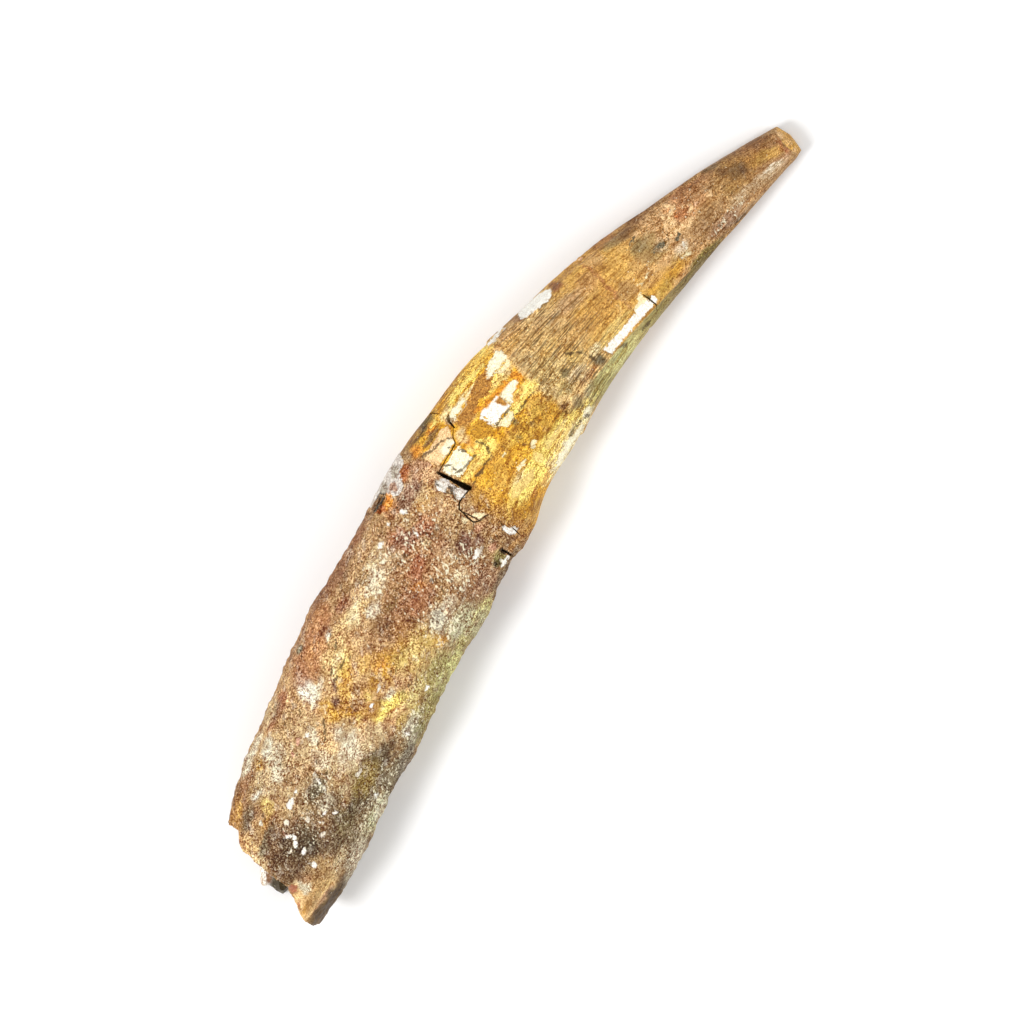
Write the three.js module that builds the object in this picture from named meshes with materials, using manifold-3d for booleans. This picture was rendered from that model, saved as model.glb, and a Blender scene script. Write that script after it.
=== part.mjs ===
// A fossil spinosaur tooth: a long, gently curved crown still joined to its root, lying on its side.
// It grew as one piece, so it is one solid. Millimetres, +Z up, +X from the broken root to the worn tip,
// +Y towards the convex front edge; the origin is under the middle of the tooth, on the surface it lies on.
//
// Every place on the skin is given by two numbers. "along" is the distance in mm from the root end, measured
// on the centreline. "turn" is the angle in degrees round the centreline: 0 is the upper face, 90 the convex
// edge, -90 the concave edge and 180 the face that lies down.
import * as THREE from "three";
import { ImprovedNoise } from "three/addons/math/ImprovedNoise.js";
import { mergeVertices } from "three/addons/utils/BufferGeometryUtils.js";
import Module from "manifold-3d";

// --- Driving dimensions ------------------------------------------------------------------------------

// The centreline is one quadratic curve, which starts a little before the root end so that the longest
// splinter of the break still lies on it.
const CURVE_START = new THREE.Vector3(-77.74, -7.07, 9.3);
const CURVE_BEND = new THREE.Vector3(8.36, 16.23, 12.3);
const CURVE_TIP = new THREE.Vector3(75.86, -13.27, 2.6);
const BEFORE_ROOT_END = 2;

// The oval section of the bare dentine: its reach towards the convex edge, towards the concave edge, and
// up and down. The crust and the enamel stand over it.
const SECTIONS = [
  { along: -2, convex: 9.7, concave: 6.4, half: 7.7 },
  { along: 5, convex: 10.8, concave: 8.9, half: 8.7 },
  { along: 12, convex: 11.9, concave: 10.3, half: 9.3 },
  { along: 21, convex: 12.5, concave: 11.1, half: 9.7 },
  { along: 32, convex: 12.1, concave: 12.3, half: 10.1 },
  { along: 46, convex: 12.2, concave: 12.8, half: 10.2 },
  { along: 57, convex: 11.3, concave: 13.4, half: 10.2 },
  { along: 68, convex: 11.5, concave: 12.7, half: 9.9 },
  { along: 77, convex: 11.9, concave: 13.0, half: 9.5 },
  { along: 80, convex: 11.6, concave: 12.1, half: 9.2 },
  { along: 93, convex: 11.0, concave: 10.8, half: 8.0 },
  { along: 100, convex: 9.8, concave: 9.6, half: 7.2 },
  { along: 110, convex: 8.7, concave: 8.5, half: 6.4 },
  { along: 120, convex: 7.5, concave: 7.7, half: 5.5 },
  { along: 130, convex: 5.8, concave: 6.7, half: 4.7 },
  { along: 140, convex: 4.6, concave: 5.2, half: 3.9 },
  { along: 155, convex: 2.8, concave: 2.4, half: 2.5 },
];

// The root's sandy crust thins out at NECK. The crown's enamel starts at ENAMEL_EDGE, with a ragged lip.
// Between the two the enamel has flaked off the dentine.
const NECK = 75;
const NECK_RUN = 3; // the crust thins out over this length
const ENAMEL_EDGE = 95.2;
const ENAMEL_EDGE_SKEW = 0.8; // the lip stands this much further on at the convex edge
const ENAMEL_EDGE_RAGGED = 0.35;
const ENAMEL_THICKNESS = 0.25;
const CRUST_THICKNESS = 0.3;
const JOIN = 115.5; // an old break across the crown, glued
const JOIN_DEPTH = 0.15;

// The cutting edge (carina) swings towards the concave edge as it nears the tip.
const CARINA_TURN_AT_NECK = -30;
const CARINA_SWING = -0.68; // degrees for each mm past along = 80
const CARINA_HEIGHT = 0.5;
const CHANNEL_DEPTH = 0.45; // hollow strip between the carina and the concave edge
const FLUTES = 14; // broad flutes round the crown
const FLUTE_DEPTH = 0.1;

// The worn tip is cut on a slant, and domed.
const TIP_MIDDLE = 153.8;
const TIP_SLANT = 1.15;
const TIP_DOME = 0.4;

// The root's broken end: how far along the break stands on the outside and on the inside of the wall.
const BREAK = [
  { turn: -90, outer: -1.2, inner: -0.9 },
  { turn: -62, outer: -1.7, inner: -0.6 },
  { turn: -40, outer: -1.1, inner: 0.4 },
  { turn: -35, outer: 3.9, inner: 0.9 },
  { turn: -18, outer: 4.2, inner: 2.1 },
  { turn: -8, outer: 4.1, inner: 2.9 },
  { turn: -2, outer: 3.5, inner: 3.9 },
  { turn: 8, outer: 4.2, inner: 4.8 },
  { turn: 20, outer: 5.0, inner: 5.6 },
  { turn: 30, outer: 5.2, inner: 6.0 },
  { turn: 43, outer: 6.3, inner: 6.2 },
  { turn: 53, outer: 6.9, inner: 6.8 },
  { turn: 57, outer: 9.3, inner: 8.6 },
  { turn: 75, outer: 9.8, inner: 10.2 },
  { turn: 100, outer: 10.2, inner: 10.6 },
  { turn: 124, outer: 8.0, inner: 9.2 },
  { turn: 153, outer: 4.6, inner: 7.0 },
  { turn: 160, outer: 1.9, inner: 5.0 },
  { turn: 167, outer: 2.4, inner: 3.6 },
  { turn: 178, outer: 1.4, inner: 1.8 },
  { turn: 184, outer: 2.8, inner: 3.0 },
  { turn: 205, outer: 3.4, inner: 4.6 },
  { turn: 236, outer: 1.0, inner: 2.6 },
  { turn: 270, outer: -1.2, inner: -0.9 },
];
const WALL_INSIDE = 0.62; // the pulp cavity's width at the break, as a share of the tooth's
const CAVITY_DEPTH = 12.5;
const ROUGH_BREAK = 0.5;
const ROUGH_TIP = 0.12;

// Rings and columns of the skin's mesh.
const COLUMNS = 54;
const BLEND_END = 14; // past here the rings no longer follow the break
const BLEND_RINGS = 7;
const ROOT_RING_STEP = 2;
const CROWN_RING_STEP = 2.4;
const STEP_RUN = 0.35; // the length over which the enamel's lip drops

// Cracks and losses in the upper face, as [along, turn] points.
const GAP = { path: [[74.6, 23], [74.8, 8], [75.3, -4]], width: 1.1, depth: 3.4 };
const CRACKS = [
  { path: [[75.0, 24.1], [79.9, 25.2], [81.0, 34.7], [82.1, 37.3]], width: 0.3, depth: 1.3 },
  { path: [[82.1, 36.7], [82.4, 46], [83.1, 48.5]], width: 0.6, depth: 1.6 },
  { path: [[82.6, 63], [82.0, 84]], width: 0.45, depth: 1.0 },
  { path: [[74.9, -4.5], [72.6, -2.7], [71.2, -5.4]], width: 0.3, depth: 1.3 },
  { path: [[71.2, -9], [70.7, -19.6], [72.6, -24.3], [74.0, -32.3]], width: 0.3, depth: 1.2 },
  { path: [[71.2, -9], [71.6, -20.5]], width: 0.3, depth: 1.2 },
  { path: [[73.4, -52], [73.2, -66]], width: 0.35, depth: 1.0 },
  { path: [[69.4, -54], [69.4, -84]], width: 0.5, depth: 1.4 },
  { path: [[118.2, -27], [118.7, -48]], width: 0.45, depth: 0.7 },
];
const POCKETS = [
  { along: 73.3, turn: 8, long: 1.2, wide: 2.7, deep: 0.9 },
  { along: 66.0, turn: 55, long: 1.8, wide: 1.4, deep: 1.1 },
  { along: 68.0, turn: -57, long: 1.8, wide: 1.1, deep: 1.4 },
];

// --- Shape of the skin -------------------------------------------------------------------------------

const centreline = new THREE.QuadraticBezierCurve3(CURVE_START, CURVE_BEND, CURVE_TIP);
const curveLength = centreline.getLength();
const noise = new ImprovedNoise();
const UP = new THREE.Vector3(0, 0, 1);
const { smoothstep, degToRad, lerp, euclideanModulo } = THREE.MathUtils;

const sectionCurve = new THREE.CubicInterpolant(
  SECTIONS.map((section) => section.along),
  SECTIONS.flatMap((section) => [section.convex, section.concave, section.half]),
  3,
);
sectionCurve.settings = { endingStart: THREE.ZeroSlopeEnding, endingEnd: THREE.ZeroSlopeEnding };

const breakCurve = new THREE.LinearInterpolant(
  BREAK.map((point) => point.turn),
  BREAK.flatMap((point) => [point.outer, point.inner]),
  2,
);

function breakAt(turn) {
  const [outer, inner] = breakCurve.evaluate(euclideanModulo(turn + 90, 360) - 90);
  return { outer, inner };
}

function frameAt(along) {
  const share = THREE.MathUtils.clamp((along + BEFORE_ROOT_END) / curveLength, 0, 1);
  const tangent = centreline.getTangentAt(share);
  const across = new THREE.Vector3().crossVectors(UP, tangent).normalize();
  const up = new THREE.Vector3().crossVectors(tangent, across);
  return { point: centreline.getPointAt(share), tangent, across, up };
}

function carinaTurn(along) {
  return CARINA_TURN_AT_NECK + CARINA_SWING * Math.max(0, along - 80);
}

function enamelEdge(turn) {
  const skew = ENAMEL_EDGE_SKEW * Math.sin(degToRad(turn));
  return ENAMEL_EDGE + skew + ENAMEL_EDGE_RAGGED * Math.sin(degToRad(5 * turn));
}

const hump = (distance, halfWidth) => Math.exp(-((distance / halfWidth) ** 2));

// How far round the section, in mm, one turn lies from another.
function arc(along, turn, from, radius) {
  return (degToRad(euclideanModulo(turn - from + 180, 360) - 180)) * radius;
}

// Height of the surface over the plain oval, in mm, at a place on the skin.
function relief(along, turn, point, radius) {
  const crown = smoothstep(along, enamelEdge(turn) - STEP_RUN, enamelEdge(turn));
  const root = 1 - smoothstep(along, NECK - NECK_RUN, NECK);
  let height = CRUST_THICKNESS * root + ENAMEL_THICKNESS * crown;

  // The root's crust is lumpy, and sinks into a broad hollow low on the concave side and into a long
  // furrow beside the convex edge.
  const lumps = 0.42 * noise.noise(point.x / 7, point.y / 7, point.z / 7);
  const grit = 0.22 * noise.noise(point.x / 2.6, point.y / 2.6, point.z / 2.6);
  height += (lumps + grit) * (0.25 + 0.75 * root);
  height -= 0.55 * hump(along - 27, 9) * hump(arc(along, turn, -42, radius), 4.5);
  height -= 0.4 * hump(along - 48, 20) * hump(arc(along, turn, 46, radius), 1.8);
  height -= 0.3 * hump(along - 38, 7) * hump(arc(along, turn, 2, radius), 3.6);

  // The crown carries a cutting edge on each side, with a hollow strip below the one that shows, and
  // broad flutes between them.
  const edge = arc(along, turn, carinaTurn(along), radius);
  const otherEdge = arc(along, turn, carinaTurn(along) + 182, radius);
  const edgeShare = crown * (1 - smoothstep(along, 128, 140));
  height += CARINA_HEIGHT * edgeShare * (hump(edge, 0.7) + hump(otherEdge, 0.7));
  height -= CHANNEL_DEPTH * edgeShare * hump(edge + 2.1, 1.2);
  const fluteShare = crown * (1 - smoothstep(along, 135, 150));
  height += FLUTE_DEPTH * fluteShare * Math.cos(degToRad((turn - carinaTurn(along)) * FLUTES));
  height -= JOIN_DEPTH * hump(along - JOIN, 0.6);
  return height;
}

// A point of the skin. share draws it in towards the centreline, which makes the worn tip, the break and
// the cavity; roughness is how uneven those are.
function skinPoint(along, turn, share = 1, roughness = 0) {
  const [convex, concave, half] = sectionCurve.evaluate(along);
  const { point, across, up } = frameAt(along);
  const sine = Math.sin(degToRad(turn));
  const cosine = Math.cos(degToRad(turn));
  const reach = sine > 0 ? convex : concave;
  const plain = point
    .clone()
    .addScaledVector(across, reach * sine * share)
    .addScaledVector(up, half * cosine * share);
  const normal = across.clone().multiplyScalar(sine / reach).addScaledVector(up, cosine / half).normalize();
  const radius = Math.hypot(reach * cosine, half * sine);
  const uneven = roughness * noise.noise(plain.x / 1.3, plain.y / 1.3, plain.z / 1.3);
  const height = share === 1 ? relief(along, turn, plain, radius) : uneven;
  return { place: plain.addScaledVector(normal, height), normal };
}

// --- Mesh of the skin --------------------------------------------------------------------------------

// The columns stand evenly round the tooth, moved onto the corners of the break where one is near.
const columnTurns = Array.from({ length: COLUMNS }, (_, column) => {
  const even = -90 + (360 * column) / COLUMNS;
  const corner = BREAK.find(({ turn }) => Math.abs(turn - even) < 180 / COLUMNS);
  return corner ? corner.turn : even;
});

// One ring of points. alongOf gives each column's place on the centreline from its turn. Past the neck
// the columns swing round with the cutting edge.
function ring(alongOf, share = 1, roughness = 0) {
  return columnTurns.map((turn) => {
    const along = alongOf(turn);
    return skinPoint(along, turn + carinaTurn(along) - CARINA_TURN_AT_NECK, share, roughness).place;
  });
}

// Rings from one place along the tooth to another, about a step apart.
function evenRings(from, to, step) {
  const count = Math.round((to - from) / step);
  return Array.from({ length: count + 1 }, (_, i) => ring(() => lerp(from, to, i / count)));
}

function crossRings() {
  const lipReach = ENAMEL_EDGE_SKEW + ENAMEL_EDGE_RAGGED + 1;
  const lipTurn = (turn) => turn + carinaTurn(ENAMEL_EDGE) - CARINA_TURN_AT_NECK;
  return [
    ...evenRings(BLEND_END, ENAMEL_EDGE - lipReach, ROOT_RING_STEP),
    ring((turn) => enamelEdge(lipTurn(turn)) - STEP_RUN),
    ring((turn) => enamelEdge(lipTurn(turn))),
    ...evenRings(ENAMEL_EDGE + lipReach, TIP_MIDDLE - 3, CROWN_RING_STEP),
  ];
}

function tipRings() {
  const swing = carinaTurn(TIP_MIDDLE) - CARINA_TURN_AT_NECK;
  const slanted = (offset, slant) => (turn) => TIP_MIDDLE + offset - slant * Math.cos(degToRad(turn + swing));
  return [
    ring(slanted(-0.1, TIP_SLANT)),
    ring(slanted(0.2, TIP_SLANT * 0.85), 0.86, ROUGH_TIP),
    ring(slanted(TIP_DOME, TIP_SLANT / 2), 0.5, ROUGH_TIP),
  ];
}

function breakRings() {
  const rings = Array.from({ length: BLEND_RINGS }, (_, i) => {
    const share = (i + 1) / BLEND_RINGS;
    return ring((turn) => lerp(BLEND_END, breakAt(turn).outer, share));
  });
  const halfway = (turn) => lerp(breakAt(turn).outer, breakAt(turn).inner, 0.5);
  return [
    ...rings,
    ring(halfway, (1 + WALL_INSIDE) / 2, ROUGH_BREAK),
    ring((turn) => breakAt(turn).inner, WALL_INSIDE, ROUGH_BREAK),
    ring((turn) => lerp(breakAt(turn).inner, CAVITY_DEPTH, 0.55), WALL_INSIDE * 0.8, ROUGH_BREAK),
    ring(() => CAVITY_DEPTH - 0.6, WALL_INSIDE * 0.42, ROUGH_BREAK),
  ];
}

// A closed skin over a stack of rings that runs from the tip to the bottom of the pulp cavity.
function skinOver(rings, firstPole, lastPole) {
  const vertices = [firstPole, ...rings.flat(), lastPole].flatMap((point) => point.toArray());
  const faces = [];
  const at = (row, column) => 1 + row * COLUMNS + (column % COLUMNS);
  for (let column = 0; column < COLUMNS; column++) {
    faces.push(0, at(0, column + 1), at(0, column));
    for (let row = 0; row + 1 < rings.length; row++) {
      faces.push(at(row, column), at(row + 1, column + 1), at(row + 1, column));
      faces.push(at(row, column), at(row, column + 1), at(row + 1, column + 1));
    }
    faces.push(at(rings.length - 1, column), at(rings.length - 1, column + 1), vertices.length / 3 - 1);
  }
  const geometry = new THREE.BufferGeometry();
  geometry.setAttribute("position", new THREE.Float32BufferAttribute(vertices, 3));
  geometry.setIndex(faces);
  return geometry;
}

function toothSkin() {
  const rings = [...tipRings().reverse(), ...crossRings().reverse(), ...breakRings()];
  return skinOver(rings, frameAt(TIP_MIDDLE + TIP_DOME + 0.1).point, frameAt(CAVITY_DEPTH).point);
}

// --- Cutting -----------------------------------------------------------------------------------------

const wasm = await Module();
wasm.setup();

function solidOf(geometry) {
  const bare = geometry.clone().deleteAttribute("normal").deleteAttribute("uv");
  const merged = mergeVertices(bare, 1e-4);
  return new wasm.Manifold(
    new wasm.Mesh({
      numProp: 3,
      vertProperties: merged.attributes.position.array,
      triVerts: new Uint32Array(merged.index.array),
    }),
  );
}

function geometryOf(solid) {
  const { vertProperties, triVerts } = solid.getMesh();
  const geometry = new THREE.BufferGeometry();
  geometry.setAttribute("position", new THREE.BufferAttribute(new Float32Array(vertProperties), 3));
  geometry.setIndex(new THREE.BufferAttribute(triVerts, 1));
  geometry.computeVertexNormals();
  return geometry;
}

// Thin blades that follow a path over the skin, one for each stretch of it.
function blades({ path, width, depth }) {
  const CLEAR = 2; // how far a blade stands over the skin
  return path.slice(1).map((to, index) => {
    const from = skinPoint(...path[index]);
    const end = skinPoint(...to);
    const middle = from.place.clone().add(end.place).multiplyScalar(0.5);
    const length = from.place.distanceTo(end.place) + width;
    const direction = end.place.clone().sub(from.place).normalize();
    const side = new THREE.Vector3().crossVectors(from.normal, direction).normalize();
    const outward = new THREE.Vector3().crossVectors(direction, side);
    return new THREE.BoxGeometry(length, width, depth + CLEAR)
      .translate(0, 0, (CLEAR - depth) / 2)
      .applyMatrix4(new THREE.Matrix4().makeBasis(direction, side, outward).setPosition(middle));
  });
}

function pocket({ along, turn, long, wide, deep }) {
  const { place, normal } = skinPoint(along, turn);
  const { tangent } = frameAt(along);
  const side = new THREE.Vector3().crossVectors(normal, tangent).normalize();
  return new THREE.SphereGeometry(1, 12, 8)
    .scale(long, wide, deep)
    .applyMatrix4(new THREE.Matrix4().makeBasis(tangent, side, normal).setPosition(place));
}

// What lies under the surface that the tooth rests on.
function belowRest() {
  return new THREE.BoxGeometry(200, 80, 20).translate(0, 0, -10);
}

function carvedTooth() {
  const cutters = [belowRest(), ...blades(GAP), ...CRACKS.flatMap(blades), ...POCKETS.map(pocket)];
  const whole = cutters.reduce((solid, cutter) => solid.subtract(solidOf(cutter)), solidOf(toothSkin()));
  const largest = whole.decompose().sort((one, other) => other.volume() - one.volume())[0];
  return geometryOf(largest);
}

// --- The tooth ---------------------------------------------------------------------------------------

const fossil = new THREE.MeshStandardMaterial({ color: 0xa9794a, roughness: 0.7, metalness: 0 });
const tooth = new THREE.Mesh(carvedTooth(), fossil);
tooth.name = "tooth";

const model = new THREE.Group();
model.add(tooth);
export default model;
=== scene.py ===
"""The looks of a fossil spinosaur tooth lying on its side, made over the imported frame. Metres, +Z up.

A place on the skin is given as the part gives it: "along" is the distance in mm from the root end, measured
on the centreline, and "turn" the angle in degrees round the centreline, 0 on top, 90 at the convex edge and
-90 at the concave edge. Marks on the upper face are placed by along and "across", the mm from the centreline
towards the convex edge. An oval mark is given by its along and across, its half length and half width in mm
and, if it leans, its lean in degrees.
"""
from functools import partial

import bpy
import numpy as np
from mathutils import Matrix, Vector, noise


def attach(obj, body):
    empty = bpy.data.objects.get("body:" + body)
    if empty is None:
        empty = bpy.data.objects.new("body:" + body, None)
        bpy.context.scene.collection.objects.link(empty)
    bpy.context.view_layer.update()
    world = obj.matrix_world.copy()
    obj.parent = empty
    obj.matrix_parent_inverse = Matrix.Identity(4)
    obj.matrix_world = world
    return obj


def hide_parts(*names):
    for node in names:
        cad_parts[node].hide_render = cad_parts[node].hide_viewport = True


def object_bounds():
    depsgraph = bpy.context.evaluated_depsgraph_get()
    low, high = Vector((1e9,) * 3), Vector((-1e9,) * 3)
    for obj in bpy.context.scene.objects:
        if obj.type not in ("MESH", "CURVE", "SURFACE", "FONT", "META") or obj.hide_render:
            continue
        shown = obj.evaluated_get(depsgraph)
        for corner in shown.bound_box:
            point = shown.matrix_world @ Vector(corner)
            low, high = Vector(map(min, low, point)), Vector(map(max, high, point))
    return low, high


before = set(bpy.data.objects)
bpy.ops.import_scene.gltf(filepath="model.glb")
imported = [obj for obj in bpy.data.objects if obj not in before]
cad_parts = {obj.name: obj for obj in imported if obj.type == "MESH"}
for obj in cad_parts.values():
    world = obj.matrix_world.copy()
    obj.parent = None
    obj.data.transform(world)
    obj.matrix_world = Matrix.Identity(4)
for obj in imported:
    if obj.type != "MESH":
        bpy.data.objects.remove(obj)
cad_box = [list(corner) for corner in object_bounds()]

# --- Driving dimensions, in mm and degrees -----------------------------------------------------------

MM = 0.001

CURVE_START = np.array([-77.74, -7.07, 9.3])
CURVE_BEND = np.array([8.36, 16.23, 12.3])
CURVE_TIP = np.array([75.86, -13.27, 2.6])
BEFORE_ROOT_END = 2

# The oval section of the bare dentine: along, reach to the convex and the concave edge, half height.
SECTIONS = np.array([
    (-2, 9.7, 6.4, 7.7), (5, 10.8, 8.9, 8.7), (12, 11.9, 10.3, 9.3), (21, 12.5, 11.1, 9.7),
    (32, 12.1, 12.3, 10.1), (46, 12.2, 12.8, 10.2), (57, 11.3, 13.4, 10.2), (68, 11.5, 12.7, 9.9),
    (77, 11.9, 13.0, 9.5), (80, 11.6, 12.1, 9.2), (93, 11.0, 10.8, 8.0), (100, 9.8, 9.6, 7.2),
    (110, 8.7, 8.5, 6.4), (120, 7.5, 7.7, 5.5), (130, 5.8, 6.7, 4.7), (140, 4.6, 5.2, 3.9),
    (155, 2.8, 2.4, 2.5),
])

NECK = 75
NECK_RUN = 3
CRUST_THICKNESS = 0.3
ENAMEL_EDGE = 95.2
ENAMEL_EDGE_SKEW = 0.8
ENAMEL_EDGE_RAGGED = 0.35
ENAMEL_EDGE_POINTS = 5
ENAMEL_THICKNESS = 0.25
STEP_RUN = 0.35
JOIN = 115.5  # an old break across the crown, glued
JOIN_DEPTH = 0.15
JOIN_WIDTH = 0.4

# The cutting edge (carina) swings towards the concave edge as it nears the tip. A second one lies opposite.
CARINA_TURN_AT_NECK = -33.5
CARINA_SWING = -0.4
CARINA_SWINGS_FROM = 80
CARINA_HEIGHT = 0.5
CARINA_WIDTH = 0.6
CARINA_FADES = (128, 140)
OTHER_CARINA = 182
CHANNEL_DEPTH = 0.45
CHANNEL_PLACE = -2.1
CHANNEL_WIDTH = 1.2
FLUTES = 14
FLUTE_DEPTH = 0.1
FLUTES_FADE = (135, 150)

# Lumps of the skin: their size, their height on the root, and the share of that height on the crown.
LUMPS = [(7, 0.34, 0.18), (2.4, 0.26, 0.18), (0.9, 0.17, 0)]
# Broad dents in the root: along, half length, turn, half width, depth.
DENTS = [(27, 9, -42, 4.5, 0.55), (48, 20, 46, 1.8, 0.4), (38, 7, 2, 3.6, 0.3)]

TIP_MIDDLE = 154.1
TIP_SLANT = 1.5
TIP_DOME = 0.45
TIP_SWING = -15

# The root's broken end: turn, and how far along the break stands on the outside and the inside of the wall.
BREAK = np.array([
    (-90, -1.2, -0.9), (-62, -1.7, -0.6), (-40, -1.1, 0.4), (-35, 3.9, 0.9), (-18, 4.2, 2.1), (-8, 4.1, 2.9),
    (-2, 3.5, 3.9), (8, 4.2, 4.8), (20, 5.0, 5.6), (30, 5.6, 6.0), (43, 6.6, 6.4), (50, 6.9, 6.8),
    (55, 7.5, 7.6), (57.5, 9.5, 9.0), (75, 9.8, 10.2), (100, 10.2, 10.6), (124, 9.6, 10.2), (140, 7.4, 8.6),
    (153, 4.6, 7.0), (158, 1.6, 5.0), (166, 2.1, 3.6), (175, 1.3, 1.8), (180, 1.2, 2.0), (185, 2.5, 3.0),
    (205, 3.4, 4.6), (236, 1.0, 2.6), (270, -1.2, -0.9),
])
# Small chips along the break: their size on a ring of radius 1, and how far they reach along.
BREAK_CHIPS = ((0.12, 0.16), (0.04, 0.16))
WALL_INSIDE = 0.62
CAVITY_DEPTH = 12.5
CAVITY_TAPER = 2.2
CAVITY_LUMP = 1.6
CAVITY_LUMP_HEIGHT = 0.3
SMOOTHER_TIP = 0.25  # the height of the worn tip's lumps, as a share of the cavity's

# The skin is a sheet of this many rows and columns, rolled into a tube. Its rows run over the worn tip, down
# the outside, over the break and into the pulp cavity.
COLUMNS = 176
TIP_ROWS = 9
SKIN_ROWS = 480
BREAK_ROWS = 10
CAVITY_ROWS = 22
SHEET_ROWS = TIP_ROWS + SKIN_ROWS + BREAK_ROWS + CAVITY_ROWS
INSIDE_CAD_BOX = 0.01
MERGE_WITHIN = 1e-3

# --- Losses: cracks, gaps and pockets ----------------------------------------------------------------

# Each loss is a cut of a given depth in mm along a path of (along, across, width) on the upper face.
LOSSES = {
    "neck_gap": (2.6, [(74.5, 5.2, 0.5), (74.6, 4.4, 0.8), (74.8, 2.4, 0.7), (74.9, 0.6, 1.1),
        (75.1, -0.6, 1.3), (75.3, -1.2, 0.7)]),
    "chunk_bed": (0.35, [(73.4, 4.7, 0.5), (73.2, 4, 1.5), (73.2, 2, 2), (73.4, 0, 1.9), (73.8, -0.8, 1.4),
        (74, -1.1, 0.5)]),
    "long_crack": (1.3, [(74.6, 4.8, 0.3), (77, 5, 0.28), (79.9, 5.05, 0.32), (80.8, 6.2, 0.2),
        (82.2, 7, 0.2)]),
    "wide_crack": (1.7, [(82, 6.5, 0.15), (82.1, 7, 0.35), (82.25, 7.8, 0.5), (82.6, 8.4, 0.8),
        (83.1, 8.7, 0.5), (83.7, 9, 0.1)]),
    "edge_notch": (1.1, [(82.6, 10, 0.15), (82.2, 11, 0.45), (81.9, 11.45, 0.5)]),
    "gap_crack": (1.3, [(75.4, -1, 0.3), (72.6, -0.6, 0.3), (72.2, -0.7, 0.3), (71.2, -1.3, 0.3)]),
    "root_crack": (1.2, [(71.3, -1.1, 0.25), (71.2, -2, 0.3), (70.9, -3, 0.32), (70.7, -4.3, 0.35),
        (71.5, -5, 0.3), (72.6, -5.3, 0.3), (73.2, -5.8, 0.12)]),
    "root_crack_fork": (1.1, [(71.2, -1.6, 0.15), (71.4, -3.2, 0.28), (71.5, -4.9, 0.2)]),
    "root_crack_end": (0.8, [(70.9, -4.1, 0.2), (69.8, -4.9, 0.12)]),
    "short_crack": (0.9, [(73.3, -7.9, 0.15), (73, -8.2, 0.25), (72.8, -8.9, 0.15)]),
    "low_crack": (1.1, [(73.5, -10, 0.15), (73.4, -10.6, 0.32), (73.2, -11.8, 0.25)]),
    "filler_slot": (0.5, [(118.2, -3.4, 0.35), (118.45, -4.5, 0.5), (118.65, -5.8, 0.35),
        (118.3, -7.2, 0.1)]),
    "upper_pocket": (0.5, [(64.2, 9.7, 0.3), (65, 9.75, 1.1), (66.5, 9.6, 1.5), (67.2, 9.5, 1.2),
        (67.5, 9.4, 0.4)]),
    "upper_slit": (1.4, [(64.3, 10.55, 0.2), (65.5, 10.7, 0.5), (66.8, 10.85, 0.4), (67.6, 10.85, 0.2)]),
    "lower_hole": (0.45, [(66.2, -11, 0.4), (67, -10.8, 1.4), (68.6, -10.8, 1.8), (69.2, -10.8, 1.4),
        (69.4, -10.9, 0.5)]),
    "lower_notch": (1.5, [(69.3, -10.3, 0.35), (69.4, -11.5, 0.6), (69.4, -12.6, 0.6)]),
}
CUT_STEP = 0.35
CUT_STANDS_PROUD = 1.2
CUT_FLOOR_WIDTH = 0.55  # as a share of its width at the skin
CUT_END_DEPTH = 0.5  # as a share of its depth
CUT_RAGGED = 0.5
CUT_RAGGED_SIZE = 0.7

# --- Stains and chips --------------------------------------------------------------------------------

COLOURS = {
    "soot_shade": "#1f160f", "umber": "#4a3720", "peat": "#62503a", "cocoa": "#79512f", "chestnut": "#996740",
    "brick": "#a3613d", "rust": "#b4672c", "plum": "#7a503f", "mauve": "#a37e68", "rose": "#cf9f84",
    "olive": "#80703f", "moss": "#a69a5c", "lichen": "#b9b491", "slate": "#6b634e", "ash": "#aba292",
    "tan": "#b08c5e", "fawn": "#c8a070", "sand": "#ccb28a", "honey": "#dcae5c", "ochre": "#b98628",
    "gold": "#dba638", "mustard": "#dca328", "lemon": "#f6de78", "buff": "#e6c48a", "khaki": "#b0903e",
    "pistachio": "#e0e09c", "plaster": "#cfc8bf", "bark_shade": "#40351c", "bronze": "#b07c38", "amber": "#dc932f",
    "apricot": "#dba26c", "straw": "#e6c878", "russet": "#95550f", "brass": "#b08414", "peach": "#ecc692",
    "cream": "#f0e0b2", "ivory": "#f3ebcb", "bone": "#ddd4c0", "chalk": "#f1eee4",
}

# The plain colour of the tooth along its length, under the stains.
GROUND = [
    (-2, "fawn"), (6, "tan"), (11, "chestnut"), (17, "tan"), (26, "fawn"), (44, "fawn"), (52, "tan"),
    (75, "tan"), (76.5, "mustard"), (94.7, "mustard"), (95.3, "buff"), (104, "buff"), (110, "honey"),
    (120, "honey"), (127, "fawn"), (134, "tan"), (155, "tan"),
]

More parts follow.
